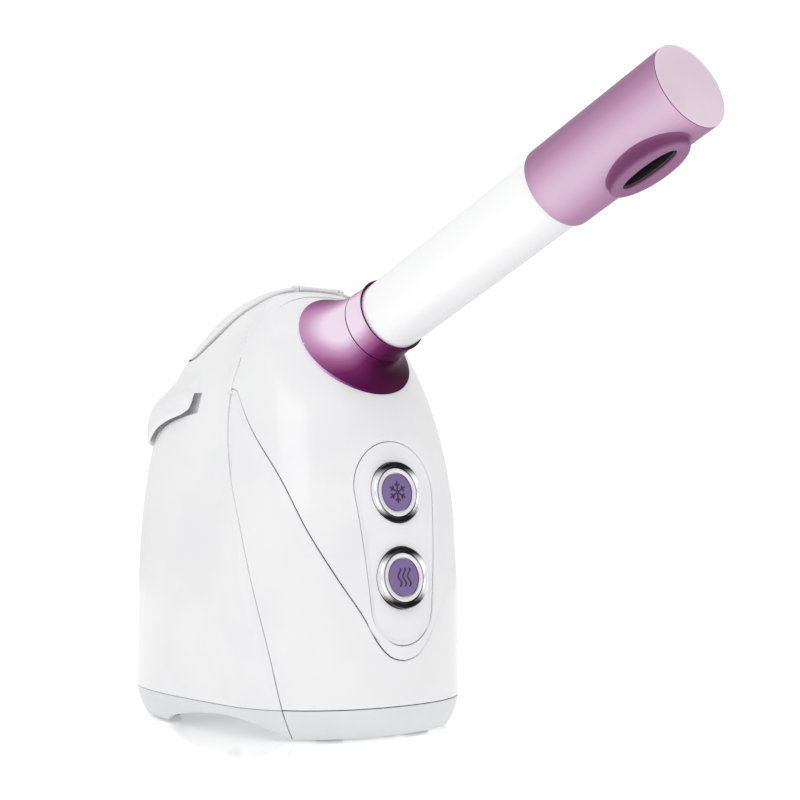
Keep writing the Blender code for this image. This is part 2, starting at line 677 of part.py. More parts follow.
def make_tank():
    tank = body_form("water_tank", TANK_INSET, look="clear_tank", sides=24, levels=8, high=TANK_HIGH)
    low, high = (-41, TANK_FRONT, TANK_LOW), (41, 200, 240)
    combine(tank, block("keep_tank", low, high), "INTERSECT")
    hollow = body_form("cut_tank_hollow", TANK_INSET + 1.8, sides=24, levels=8)
    inner_low = (-39.2, TANK_FRONT + 1.8, TANK_LOW + 2)
    combine(hollow, block("keep_tank_hollow", inner_low, (39.2, 200, 240)), "INTERSECT")
    combine(tank, hollow)
    tray = body_form("fill_tray", 4.2, look="white_gloss", sides=24, levels=8)
    slope = [(63, 181.4), (113.6, 164.6), (113.6, 166.8), (63, 183.6)]
    combine(tray, prism("keep_tray", slope, -60, 60, along_x), "INTERSECT")


def make_boiler():
    x, y = BOILER_AT
    base, up = (x, y, 0), (0, 0, 1)
    turned("heater_plate", [(0, 29), (20, 29), (20, 33.4), (0, 33.4)], base, up, "aluminium", sides=24)
    turned("thermal_cutout", [(0, 22), (7, 22), (7, 28.7), (0, 28.7)], base, up, "black_plastic", sides=16)
    pot = [(0, 33.7), (24, 33.7), (24, 84), (21.6, 84), (21.6, 36.2), (0, 36.2)]
    turned("boiler_pot", pot, base, up, "aluminium", sides=24)
    turned("boiler_gasket", [(21.6, 84.3), (24, 84.3), (24, 85.7), (21.6, 85.7)], base, up, "silicone",
           sides=24, ring=True)
    cover = turned("boiler_cover", [(0, 86), (25, 86), (25, 89), (22, 91), (0, 92)], base, up,
                   "white_gloss", sides=24)
    spigot = turned("join_spigot", [(4.6, 87), (4.6, 104)], (0, STEAM_RISER_Y, 0), up, sides=16)
    combine(cover, spigot, "UNION")
    combine(cover, turned("cut_spigot", [(3.2, 80), (3.2, 110)], (0, STEAM_RISER_Y, 0), up, sides=12))
    stand = [(15, 13.1), (23, 13.1), (23, 28.7), (20.5, 28.7), (20.5, 15.5), (15, 15.5)]
    turned("boiler_stand", stand, base, up, "white_gloss", sides=24, ring=True)
    riser = (0, STEAM_RISER_Y)
    swept_pipe("steam_hose", [(*riser, z) for z in (93, 103, 113, 121)], 7, 5, "silicone", sides=16)
    bend = [Vector((*riser, 121.3)), Vector((*riser, 130))]
    for step in range(5):
        turn = (math.pi / 2 - ARM_RISE) * step / 4
        bend.append(Vector((0, STEAM_RISER_Y - ELBOW_BEND_R * (1 - math.cos(turn)),
                            ELBOW_BEND_Z + ELBOW_BEND_R * math.sin(turn))))
    swept_pipe("mixing_elbow", bend, 7.6, 6.2, "white_gloss", sides=16)
    turned("steam_pipe", [(7.4, -95), (9, -95), (9, -8), (7.4, -8)], ARM_START, ARM_AXIS, "aluminium",
           sides=20, ring=True)
    feed = smooth_points([(30, 113.9, 52), (30, 106, 51), (30, 96, 48), (28.5, 90, 45), (25.6, 87.3, 44)], 2)
    swept_pipe("feed_hose", feed, 3.2, 2.0, "silicone", sides=8)


def make_cool_mist():
    x, y = CHAMBER_AT
    chamber = [(0, 30), (12.5, 30), (12.5, 76), (6, 82), (6, 92), (4.6, 92), (4.6, 81), (11, 75),
               (11, 32), (0, 32)]
    turned("mist_chamber", chamber, (x, y, 0), (0, 0, 1), "white_gloss", sides=20)
    turned("piezo_disc", [(0, 27.4), (9, 27.4), (9, 29.7), (0, 29.7)], (x, y, 0), (0, 0, 1), "brass",
           sides=20)
    route = [(x, y, 92.7), (x, y, 104), (x + 3, y + 2, 115), (-27, 95, 128), (-17, 104, 131.5),
             (-8.8, 105.5, 132)]
    route = smooth_points(route, 2)
    swept_pipe("mist_hose", route, 5.6, 4.4, "silicone", sides=10)
    frame = prism("fan_housing", rounded_outline(14, 14, 2.5, (FAN_AT.x, FAN_AT.z)), FAN_AT.y - 5,
                  FAN_AT.y + 5, along_y,
                  "black_plastic")
    combine(frame, turned("cut_fan_way", [(12.6, -8), (12.6, 2.8)], FAN_AT, (0, 1, 0), sides=28))
    vents = turned("cut_fan_back", [(5.6, -1), (5.6, 8), (12.0, 8), (12.0, -1)], FAN_AT, (0, 1, 0),
                   sides=24, ring=True)
    for turn in (0, math.pi / 2):
        bar_x, bar_z = 14 * math.cos(turn) + 1.2, 14 * math.sin(turn) + 1.2
        combine(vents, block("keep_bar", (FAN_AT.x - bar_x, FAN_AT.y - 2, FAN_AT.z - bar_z),
                             (FAN_AT.x + bar_x, FAN_AT.y + 9, FAN_AT.z + bar_z)))
    combine(frame, vents)
    make_fan_rotor()


def make_fan_rotor():
    rotor = turned("fan_rotor", [(0, -4), (4.6, -4), (5.0, -3.4), (5.0, 2.2), (0, 2.2)], FAN_AT,
                   (0, 1, 0), "black_plastic",
                   sides=20)
    for index in range(7):
        blade = block("join_blade", (4.2, -0.5, -2.4), (11.6, 0.5, 2.4))
        tilt = Matrix.Rotation(math.radians(40), 4, "X")
        spread = Matrix.Rotation(2 * math.pi * index / 7, 4, "Y")
        blade.data.transform(Matrix.Translation(Vector((FAN_AT.x, FAN_AT.y - 0.8,
                                                        FAN_AT.z)) * MM) @ spread @ tilt)
        combine(rotor, blade, "UNION")


# ---- electrics and fixings ----

def make_electrics():
    board = [(50, 24), (108, 24), (108, 92), (50, 92)]
    prism("main_board", board, 38.6, 40.2, along_x, "board_green")
    block("power_module", (40.5, 56, 30), (51.5, 82, 54), "black_plastic")
    block("ioniser_module", (40.5, 62, 60), (50.5, 84, 78), "brass")
    inlet = block("power_inlet", (-11.4, 152, 24.6), (11.4, 167.3, 38.4), "black_plastic")
    combine(inlet, prism("cut_socket", rounded_outline(7.6, 4.2, 4.1, (0, 31.5)), 157, 175, along_y))
    for name, x in (("left", -4), ("right", 4)):
        turned("inlet_pin_" + name, [(1.2, 157.3), (1.2, 165.5), (0.7, 166.2)], (x, 0, 31.5), (0, 1, 0),
               "steel", sides=12)


def make_screws():
    head = [(0, -4.6), (1.4, -4.6), (1.4, -0.9), (2.9, -0.9), (2.9, 0.9), (0, 0.9)]
    for index, (x, y) in enumerate(SCREW_PLACES, 1):
        screw = turned("base_screw_" + str(index), head, (x, y, 9.2), (0, 0, -1), "steel", sides=12)
        combine(screw, block("cut_drive", (x - 2, y - 0.35, 7.2), (x + 2, y + 0.35, 8.9)))


def place_origins():
    # Every moving piece turns or slides about its own origin.
    pivots = {
        "collar_ring": ARM_START, "arm_tube": ARM_START, "nozzle_seal": ARM_START,
        "nozzle_head": ARM_START, "nozzle_end_cap": ARM_START, "mist_outlet": ARM_START,
        "outlet_liner": ARM_START,
        "cool_button": COOL_BUTTON, "cool_button_inset": COOL_BUTTON,
        "hot_button": HOT_BUTTON, "hot_button_inset": HOT_BUTTON,
        "tank_lid": LID_PIVOT, "fan_rotor": FAN_AT,
    }
    for name, pivot in pivots.items():
        piece = bpy.data.objects[name]
        offset = Vector(pivot) * MM
        piece.data.transform(Matrix.Translation(-offset))
        piece.location = offset


clear_scene()
make_front_housing()
make_front_fascia()
make_control_panel()
make_rear_housing()
make_tank_lid()
make_grip_liner()
make_base()
make_collar()
make_arm()
make_nozzle()
make_buttons()
make_tank()
make_boiler()
make_cool_mist()
make_electrics()
make_screws()
place_origins()
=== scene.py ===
# Facial steamer: smooth shells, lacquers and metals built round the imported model.
import json
import math

import bpy
from mathutils import Matrix, Vector


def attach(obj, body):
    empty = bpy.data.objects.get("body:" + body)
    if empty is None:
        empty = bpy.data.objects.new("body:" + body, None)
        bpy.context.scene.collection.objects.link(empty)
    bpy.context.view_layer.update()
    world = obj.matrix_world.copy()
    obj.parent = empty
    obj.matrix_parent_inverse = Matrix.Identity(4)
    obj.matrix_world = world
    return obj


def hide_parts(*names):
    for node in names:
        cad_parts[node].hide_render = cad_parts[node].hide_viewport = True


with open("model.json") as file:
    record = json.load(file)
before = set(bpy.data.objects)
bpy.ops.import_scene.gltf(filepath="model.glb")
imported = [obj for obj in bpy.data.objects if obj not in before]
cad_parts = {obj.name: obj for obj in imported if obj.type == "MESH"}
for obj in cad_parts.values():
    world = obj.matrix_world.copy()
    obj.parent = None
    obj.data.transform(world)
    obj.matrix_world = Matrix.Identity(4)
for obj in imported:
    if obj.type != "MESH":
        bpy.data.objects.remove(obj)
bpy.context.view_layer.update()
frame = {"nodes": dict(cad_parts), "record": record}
cadNodes = frame["nodes"]
mm = 0.001
print("frame loaded:", len(cadNodes), "nodes")

camera = {"place": (-0.44098, -0.52827, 0.10316), "turn": (93.44, 0, -39.61), "lens": 71.9}

body = {
    "base": 13.7, "top": 198.8, "apexY": 66.2, "frontY": 1.4, "backY": 167.1, "halfWidth": 58.0,
    "frontPowers": (3.4, 0.80), "backPowers": (4.2, 0.631), "widthPowers": (2.7, 0.3254),
    "widest": 0.303, "frontRound": 2.2, "backRound": 3.25, "wall": 2.4,
}
seamLine = [(18.5, -4), (22.6, 14), (30, 45), (44.5, 88), (57, 117),
            (63.5, 143), (62.5, 165), (58.6, 182), (59.5, 206)]
armStart = Vector((0, 10.9, 182.0))
armRise = math.radians(21.9)
armAxis = Vector((0, -math.cos(armRise), math.sin(armRise)))
acrossAxis = Vector((1, 0, 0))


def clearSelection():
    if bpy.context.object and bpy.context.object.mode != "OBJECT":
        bpy.ops.object.mode_set(mode="OBJECT")
    bpy.ops.object.select_all(action="DESELECT")


def pick(piece):
    clearSelection()
    piece.select_set(True)
    bpy.context.view_layer.objects.active = piece


def edit(piece, *steps):
    # runs edit mode steps on the whole of a piece
    pick(piece)
    bpy.ops.object.mode_set(mode="EDIT")
    bpy.ops.mesh.select_all(action="SELECT")
    for step in steps:
        step()
    bpy.ops.object.mode_set(mode="OBJECT")


def tidyMesh(piece, merge=0.00002):
    edit(piece, lambda: bpy.ops.mesh.remove_doubles(threshold=merge),
         lambda: bpy.ops.mesh.normals_make_consistent(inside=False))


def applyAll(piece):
    pick(piece)
    for step in list(piece.modifiers):
        bpy.ops.object.modifier_apply(modifier=step.name)


def bevelled(piece, width, segments=3, angle=40):
    step = piece.modifiers.new("roundEdges", "BEVEL")
    step.width = width * mm
    step.segments = segments
    step.limit_method = "ANGLE"
    step.angle_limit = math.radians(angle)
    step.harden_normals = False
    applyAll(piece)
    return piece


def thickened(piece, thickness):
    step = piece.modifiers.new("wall", "SOLIDIFY")
    step.thickness = thickness * mm
    step.offset = -1
    step.use_even_offset = False
    applyAll(piece)
    return piece


def joined(piece, tool, operation="DIFFERENCE"):
    step = piece.modifiers.new("cut", "BOOLEAN")
    step.operation = operation
    step.solver = "EXACT"
    step.object = tool
    applyAll(piece)
    bpy.data.objects.remove(tool)
    return piece


def smoothed(piece, angle=32):
    pick(piece)
    bpy.ops.object.shade_smooth_by_angle(angle=math.radians(angle))
    return piece


def wrapGrid(name, across, up, place, merge=0.00002):
    # a grid primitive bent to a surface; place turns (0..1, 0..1) into a point in millimetres
    clearSelection()
    bpy.ops.mesh.primitive_grid_add(x_subdivisions=across, y_subdivisions=up, size=2)
    piece = bpy.context.object
    piece.name = name
    for vertex in piece.data.vertices:
        vertex.co = Vector(place((vertex.co.x + 1) / 2, (vertex.co.y + 1) / 2)) * mm
    tidyMesh(piece, merge)
    return piece


def spun(name, profile, start, axis, steps=96, closed=False):
    # a profile drawn vertex by vertex as (radius, distance), spun round and set along an axis
    clearSelection()
    bpy.ops.mesh.primitive_plane_add(size=0.001)
    piece = bpy.context.object
    piece.name = name
    bpy.ops.object.mode_set(mode="EDIT")
    bpy.ops.mesh.select_all(action="SELECT")
    bpy.ops.mesh.merge(type="CENTER")
    bpy.ops.transform.translate(value=(profile[0][0] * mm, 0, profile[0][1] * mm))
    rest = list(profile[1:]) + ([profile[0]] if closed else [])
    for before, after in zip(profile, rest):
        move = ((after[0] - before[0]) * mm, 0, (after[1] - before[1]) * mm)
        bpy.ops.mesh.extrude_vertices_move(TRANSFORM_OT_translate={"value": move})
    bpy.ops.mesh.select_all(action="SELECT")
    bpy.ops.mesh.spin(steps=steps, angle=math.tau, center=(0, 0, 0), axis=(0, 0, 1))
    bpy.ops.mesh.select_all(action="SELECT")
    bpy.ops.mesh.remove_doubles(threshold=0.000004)
    bpy.ops.mesh.normals_make_consistent(inside=False)
    bpy.ops.object.mode_set(mode="OBJECT")
    settle(piece, start, axis)
    return piece


def settle(piece, start, axis):
    # turns a piece's own Z to the axis, keeps its X level, and moves it to the start
    up = Vector(axis).normalized()
    side = acrossAxis if abs(up.x) < 0.9 else Vector((0, 1, 0))
    side = (side - up * side.dot(up)).normalized()
    turn = Matrix((side, up.cross(side), up)).transposed().to_4x4()
    piece.matrix_world = Matrix.Translation(Vector(start) * mm) @ turn
    pick(piece)
    bpy.ops.object.transform_apply(location=True, rotation=True, scale=True)


def closeEnds(piece):
    # fills the open ends of a tube-like skin and turns its faces out
    edit(piece, lambda: bpy.ops.mesh.select_all(action="DESELECT"),
         lambda: bpy.ops.mesh.select_non_manifold(),
         lambda: bpy.ops.mesh.fill_holes(sides=0),
         lambda: bpy.ops.mesh.select_all(action="SELECT"),
         lambda: bpy.ops.mesh.normals_make_consistent(inside=False))
    return piece


def boxCutter(low, high):
    clearSelection()
    bpy.ops.mesh.primitive_cube_add(size=1)
    piece = bpy.context.object
    for vertex in piece.data.vertices:
        vertex.co = [(high[i] if vertex.co[i] > 0 else low[i]) * mm for i in range(3)]
    return piece


def outlineCutter(outline, low, high, place):
    # a filled outline pushed straight through
    clearSelection()
    bpy.ops.mesh.primitive_circle_add(vertices=len(outline), fill_type="NGON")
    piece = bpy.context.object
    for vertex, point in zip(piece.data.vertices, outline):
        vertex.co = Vector(place(*point, low)) * mm
    through = (Vector(place(0, 0, high)) - Vector(place(0, 0, low))) * mm
    edit(piece, lambda: bpy.ops.mesh.extrude_region_move(TRANSFORM_OT_translate={"value": through}),
         lambda: bpy.ops.mesh.select_all(action="SELECT"),
         lambda: bpy.ops.mesh.normals_make_consistent(inside=False))
    return piece


def curveThrough(points, steps):
    # a smooth curve through the points
    ends = [points[0]] + list(points) + [points[-1]]
    curve = []
    for k in range(1, len(ends) - 2):
        a, b, c, d = (Vector(ends[k + shift]) for shift in (-1, 0, 1, 2))
        for step in range(steps):
            t = step / steps
            curve.append(0.5 * (2 * b + (c - a) * t + (2 * a - 5 * b + 4 * c - d) * t ** 2
                                + (3 * b - a - 3 * c + d) * t ** 3))
    curve.append(Vector(points[-1]))
    return curve


def between(value, low, high):
    # 0 below low, 1 above high, smooth between
    t = min(max((value - low) / (high - low), 0), 1)
    return t * t * (3 - 2 * t)


def finished(piece, material, bodyName, nodes=()):
    piece.data.materials.clear()
    piece.data.materials.append(material)
    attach(piece, bodyName)
    if nodes:
        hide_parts(*nodes)
    return piece


def closing(level, powers):
    return max(1 - min(level, 1) ** powers[0], 0) ** powers[1]


def bodySection(z, out=0.0):
    level = min(max((z - body["base"]) / (body["top"] + out - body["base"]), 0), 1)
    front = body["apexY"] - (body["apexY"] - body["frontY"] + out) * closing(level, body["frontPowers"])
    back = body["apexY"] + (body["backY"] + out - body["apexY"]) * closing(level, body["backPowers"])
    width = (body["halfWidth"] + out) * closing(level, body["widthPowers"])
    return width, front, back, front + body["widest"] * (back - front)


def bodyPoint(angle, z, out=0.0):
    width, front, back, widest = bodySection(z, out)
    across, along = math.cos(angle), math.sin(angle)
    roundness = body["frontRound"] if along < 0 else body["backRound"]
    reach = widest - front if along < 0 else back - widest
    x = width * math.copysign(abs(across) ** (2 / roundness), across)
    y = widest + reach * math.copysign(abs(along) ** (2 / roundness), along)
    return Vector((x, y, z))


def angleAtY(y, z, out=0.0):
    # the right-hand angle where the section reaches y
    width, front, back, widest = bodySection(z, out)
    if y >= widest:
        part = min((y - widest) / max(back - widest, 0.001), 1)
        return math.asin(part ** (body["backRound"] / 2))
    part = min((widest - y) / max(widest - front, 0.001), 1)
    return -math.asin(part ** (body["frontRound"] / 2))


def angleAtX(x, z):
    # the front angle where the section reaches x
    width = max(bodySection(z)[0], 0.001)
    part = min(abs(x) / width, 1) ** (body["frontRound"] / 2)
    angle = -math.acos(part)
    return angle if x >= 0 else -math.pi - angle


def topHeight(x, y, out=0.0):
    # the height of the body's crown over a point
    low, high = 60.0, body["top"] + out
    for _ in range(34):
        z = (low + high) / 2
        width, front, back, widest = bodySection(z, out)
        roundness = body["frontRound"] if y < widest else body["backRound"]
        reach = widest - front if y < widest else back - widest
        share = 2
        if reach * width > 0:
            share = abs(x / width) ** roundness + abs((y - widest) / reach) ** roundness
        low, high = (z, high) if share < 1 else (low, z)
    return low


seamCurve = curveThrough(seamLine, 12)


def seamY(z):
    for a, b in zip(seamCurve, seamCurve[1:]):
        if a.y <= z <= b.y:
            return a.x + (b.x - a.x) * (z - a.y) / max(b.y - a.y, 0.0001)
    return seamCurve[-1].x


def seamAngle(z, shift=0.0):
    # where the seam meets the right side; the front middle once the crown lies behind it
    return angleAtY(seamY(z) + shift, z)


def climbOf(z):
    # the climb is 0 at the base and a quarter turn at the crown, so rows crowd where the crown closes
    return math.asin(min(max((z - body["base"]) / (body["top"] - body["base"]), 0), 1))


def surfaceAt(angle, climb, out=0.0):
    z = body["base"] + (body["top"] + out - body["base"]) * math.sin(climb)
    return bodyPoint(angle, z, out)


def otherSide(angle):
    return -math.pi - angle


def faceOut(piece, centre):
    # an open skin is turned so that it looks away from a centre
    away = sum((Vector(face.center) - Vector(centre) * mm).dot(face.normal) for face in piece.data.polygons)
    if away < 0:
        edit(piece, lambda: bpy.ops.mesh.flip_normals())
    return piece


def alongCurve(curve):
    # turns a list of points into a function of the share of its length
    lengths = [0.0]
    for a, b in zip(curve, curve[1:]):
        lengths.append(lengths[-1] + (b - a).length)

    def at(share):
        target = min(max(share, 0), 1) * lengths[-1]
        for k in range(len(curve) - 1):
            if lengths[k + 1] >= target:
                part = (target - lengths[k]) / max(lengths[k + 1] - lengths[k], 0.000001)
                return curve[k].lerp(curve[k + 1], part)
        return curve[-1]
    return at


shieldEdge = [(0, 33), (7, 34.8), (13.5, 41), (21, 53.5), (31, 69), (40.7, 89), (47, 112), (50.2, 133)]
shieldTop = 151.0
angleScale = 50.0  # millimetres of front surface to a radian, nearly
climbScale = 185.0  # millimetres of height to a unit of climb, nearly


def shieldCurve(grow):
    # the fascia's lower edge on the right, from the middle up to the seam, as (angle, z), moved outwards
    curve = [Vector((angleAtX(x, z) * angleScale, z)) for x, z in shieldEdge]
    curve.append(Vector((seamAngle(shieldTop) * angleScale, shieldTop)))
    curve = curveThrough([tuple(point) for point in curve], 14)
    moved = []
    for k, point in enumerate(curve):
        run = (curve[min(k + 1, len(curve) - 1)] - curve[max(k - 1, 0)]).normalized()
        moved.append(point + Vector((run.y, -run.x)) * grow)
    moved[0].x = curve[0].x
    return alongCurve(moved)


def shieldPoint(at, share):
    # share 0 is the middle of the front, 1 is where the edge meets the seam
    point = at(share)
    return point.x / angleScale, climbOf(point.y)


def seamTop():
    low, high = 180.0, body["top"]
    for _ in range(40):
        z = (low + high) / 2
        low, high = (z, high) if bodySection(z)[1] < seamY(z) else (low, z)
    return low


crownMeet = seamTop()


class Wire:
    # one shader value; sums on it add Math nodes
    def __init__(self, finish, socket):
        self.finish = finish
        self.socket = socket

    def __add__(self, other):
        return self.finish.maths("ADD", self, other)

    def __radd__(self, other):
        return self.finish.maths("ADD", other, self)

    def __sub__(self, other):
        return self.finish.maths("SUBTRACT", self, other)

    def __rsub__(self, other):
        return self.finish.maths("SUBTRACT", other, self)

    def __mul__(self, other):
        return self.finish.maths("MULTIPLY", self, other)

    def __rmul__(self, other):
        return self.finish.maths("MULTIPLY", other, self)

    def __truediv__(self, other):
        return self.finish.maths("DIVIDE", self, other)


class Finish:
    # a material on the bench: fixed values go on the shader, node() wires whatever varies
    def __init__(self, name, **fixed):
        self.material = bpy.data.materials.new(name)
        self.material.use_nodes = True
        self.tree = self.material.node_tree
        self.shader = self.tree.nodes["Principled BSDF"]
        for socket, value in fixed.items():
            self.shader.inputs[socket.replace("_", " ")].default_value = value

    def node(self, kind, settings=None, sockets=None, out=0):
        made = self.tree.nodes.new("ShaderNode" + kind)
        for key, value in (settings or {}).items():
            if key == "stops":
                ramp = made.color_ramp
                while len(ramp.elements) < len(value):
                    ramp.elements.new(0.5)
                for stop, (place, colour) in zip(ramp.elements, value):
                    stop.position, stop.color = place, (*colour, 1)
            else:
                setattr(made, key, value)
        for key, value in (sockets or {}).items():
            self.plug(value, made.inputs[key])
        return Wire(self, made.outputs[out])

    def plug(self, value, socket):
        if isinstance(value, Wire):
            self.tree.links.new(value.socket, socket)
        else:
            socket.default_value = value

    def maths(self, operation, *values):
        return self.node("Math", {"operation": operation}, dict(enumerate(values)))

    def place(self):
        return self.node("TexCoord", out=3)

    def facing(self, direction):
        # how far a face looks along a direction, from -1 to 1
        normal = self.node("TexCoord", out=1)
        return self.node("VectorMath", {"operation": "DOT_PRODUCT"}, {0: normal, 1: tuple(direction)}, out=1)

    def noise(self, scale, detail=2, rough=0.5, stretch=None):
        where = self.place()
        if stretch:
            where = self.node("Mapping", sockets={"Vector": where, "Scale": stretch})
        return self.node("TexNoise", sockets={"Vector": where, "Scale": scale, "Detail": detail,
                                              "Roughness": rough})

    def band(self, value, low, high, under, over):
        return self.node("MapRange", {"interpolation_type": "SMOOTHSTEP"}, {
            "Value": value, "From Min": low, "From Max": high, "To Min": under, "To Max": over})

    def blend(self, share, first, second):
        return self.node("Mix", {"data_type": "RGBA"}, {0: share, 6: first, 7: second}, out=2)

    def paint(self, **sockets):
        for key, value in sockets.items():
            self.plug(value, self.shader.inputs[key.replace("_", " ")])

    def bump(self, height, strength, distance):
        self.paint(Normal=self.node("Bump", sockets={"Height": height, "Strength": strength,
                                                     "Distance": distance}))


def hue(red, green, blue):
    # a colour picked on screen, 0 to 255, as the shader wants it
    return tuple((part / 255 / 12.92 if part < 10.3 else ((part / 255 + 0.055) / 1.055) ** 2.4)
                 for part in (red, green, blue)) + (1,)


def mouldedPlastic(name, colour, shade, rough, grain, coat=0.0, grainScale=1600):
    # moulded plastic: faint cloudiness, uneven gloss and a fine skin
    made = Finish(name, Coat_Weight=coat, Coat_Roughness=0.06, IOR=1.5)
    cloud = made.noise(26, 3)
    fine = made.noise(grainScale, 2, 0.6)
    made.paint(Base_Color=made.blend(made.band(cloud, 0.3, 0.7, 0, 1), colour, shade),
               Roughness=rough + 0.05 * cloud + 0.04 * fine)
    made.bump(fine, grain, 0.00004)
    return made.material


def pearlPaintedShade(name, direction, stops, rough, gloss=0.12):
    # pearl lacquer with painted light and shade: the colour runs from light to deep by how far each face looks
    # along one fixed direction, standing in for lit and shaded sides, with a fine sparkle of flake
    made = Finish(name, Specular_IOR_Level=gloss, IOR=1.5)
    # painted light and shade: how far each face looks along the fixed direction picks its place on the ramp
    turn = made.facing(Vector(direction).normalized()) * 0.5 + 0.5
    flake = made.noise(5200, 1)
    paintedShade = made.node("ValToRGB", {"stops": [(place, colour[:3]) for place, colour in stops]},
                      {"Fac": turn + (flake - 0.5) * 0.05})
    made.paint(Base_Color=paintedShade, Roughness=rough + 0.12 * flake)
    made.bump(flake, 0.05, 0.00002)
    return made.material


def chromePaintedReflection(name, centre, radius):
    # polished chrome with a painted reflection: the base colour turns near black above and below the centre,
    # painting in the dark room mirrored there
    made = Finish(name, Metallic=1.0)
    split = made.node("SeparateXYZ", sockets={0: made.place()}, out=2)
    height = made.maths("ABSOLUTE", (split - centre * mm) / (radius * mm))
    smear = made.noise(700, 2)
    # painted reflection: near black where the height from the centre passes about half the radius
    dark = made.band(height + (smear - 0.5) * 0.04, 0.42, 0.8, 0, 1)
    made.paint(Base_Color=made.blend(dark, (0.93, 0.93, 0.95, 1), (0.012, 0.012, 0.016, 1)),
               Roughness=0.07 + 0.06 * smear)
    return made.material


def turnedMetal(name, colour, rough, centre, axis, ringScale=5200):
    # metal turned on a lathe: fine rings round its own axis
    made = Finish(name, Metallic=1.0)
    local = made.node("VectorMath", {"operation": "SUBTRACT"},
                      {0: made.place(), 1: tuple(Vector(centre) * mm)})
    along = made.node("VectorMath", {"operation": "DOT_PRODUCT"}, {0: local, 1: tuple(axis)}, out=1)
    reach = made.node("VectorMath", {"operation": "LENGTH"}, {0: local}, out=1)
    radius = made.maths("SQRT", made.maths("MAXIMUM", reach * reach - along * along, 0))
    rings = made.node("TexNoise", {"noise_dimensions": "1D"}, {"W": radius, "Scale": ringScale, "Detail": 2})
    made.paint(Base_Color=made.blend(rings, colour, tuple(part * 0.8 for part in colour[:3]) + (1,)),
               Roughness=rough + 0.16 * rings)
    made.bump(rings, 0.12, 0.00003)
    return made.material


def plainMetal(name, colour, rough, grain):
    # drawn or cast metal with soft stains and a fine grain
    made = Finish(name, Metallic=1.0)
    cloud = made.noise(60, 3)
    scratch = made.noise(900, 2, stretch=(1, 1, 0.08))
    made.paint(Base_Color=made.blend(cloud, colour, tuple(part * 0.72 for part in colour[:3]) + (1,)),
               Roughness=rough + 0.2 * scratch)
    made.bump(scratch, grain, 0.00005)
    return made.material


def boardGreen():
    # lacquered board with copper tracks
    made = Finish("boardGreen", Coat_Weight=0.4, Coat_Roughness=0.15)
    tracks = made.node("TexVoronoi", {"distance": "MANHATTAN", "feature": "F2"},
                       {"Vector": made.place(), "Scale": 160})
    line = made.band(tracks, 0.55, 0.6, 0, 1)
    made.paint(Base_Color=made.blend(line, (0.02, 0.16, 0.06, 1), (0.05, 0.3, 0.12, 1)),
               Roughness=0.4 + 0.1 * line)
    return made.material


def clearPlastic():
    # smoky clear tank plastic
    made = Finish("clearTank", IOR=1.5, Transmission_Weight=0.75)
    cloud = made.noise(40, 2)
    made.paint(Base_Color=made.blend(cloud, (0.82, 0.9, 0.95, 1), (0.7, 0.82, 0.9, 1)),
               Roughness=0.08 + 0.06 * cloud)
    return made.material


coolCentre = Vector((0, 6.5, 104.8))
hotCentre = Vector((0, 1.9, 68.3))
buttonRise = (coolCentre - hotCentre).normalized()
buttonAxis = Vector((0, -buttonRise.z, buttonRise.y))
armUp = Vector((0, math.sin(armRise), math.cos(armRise)))

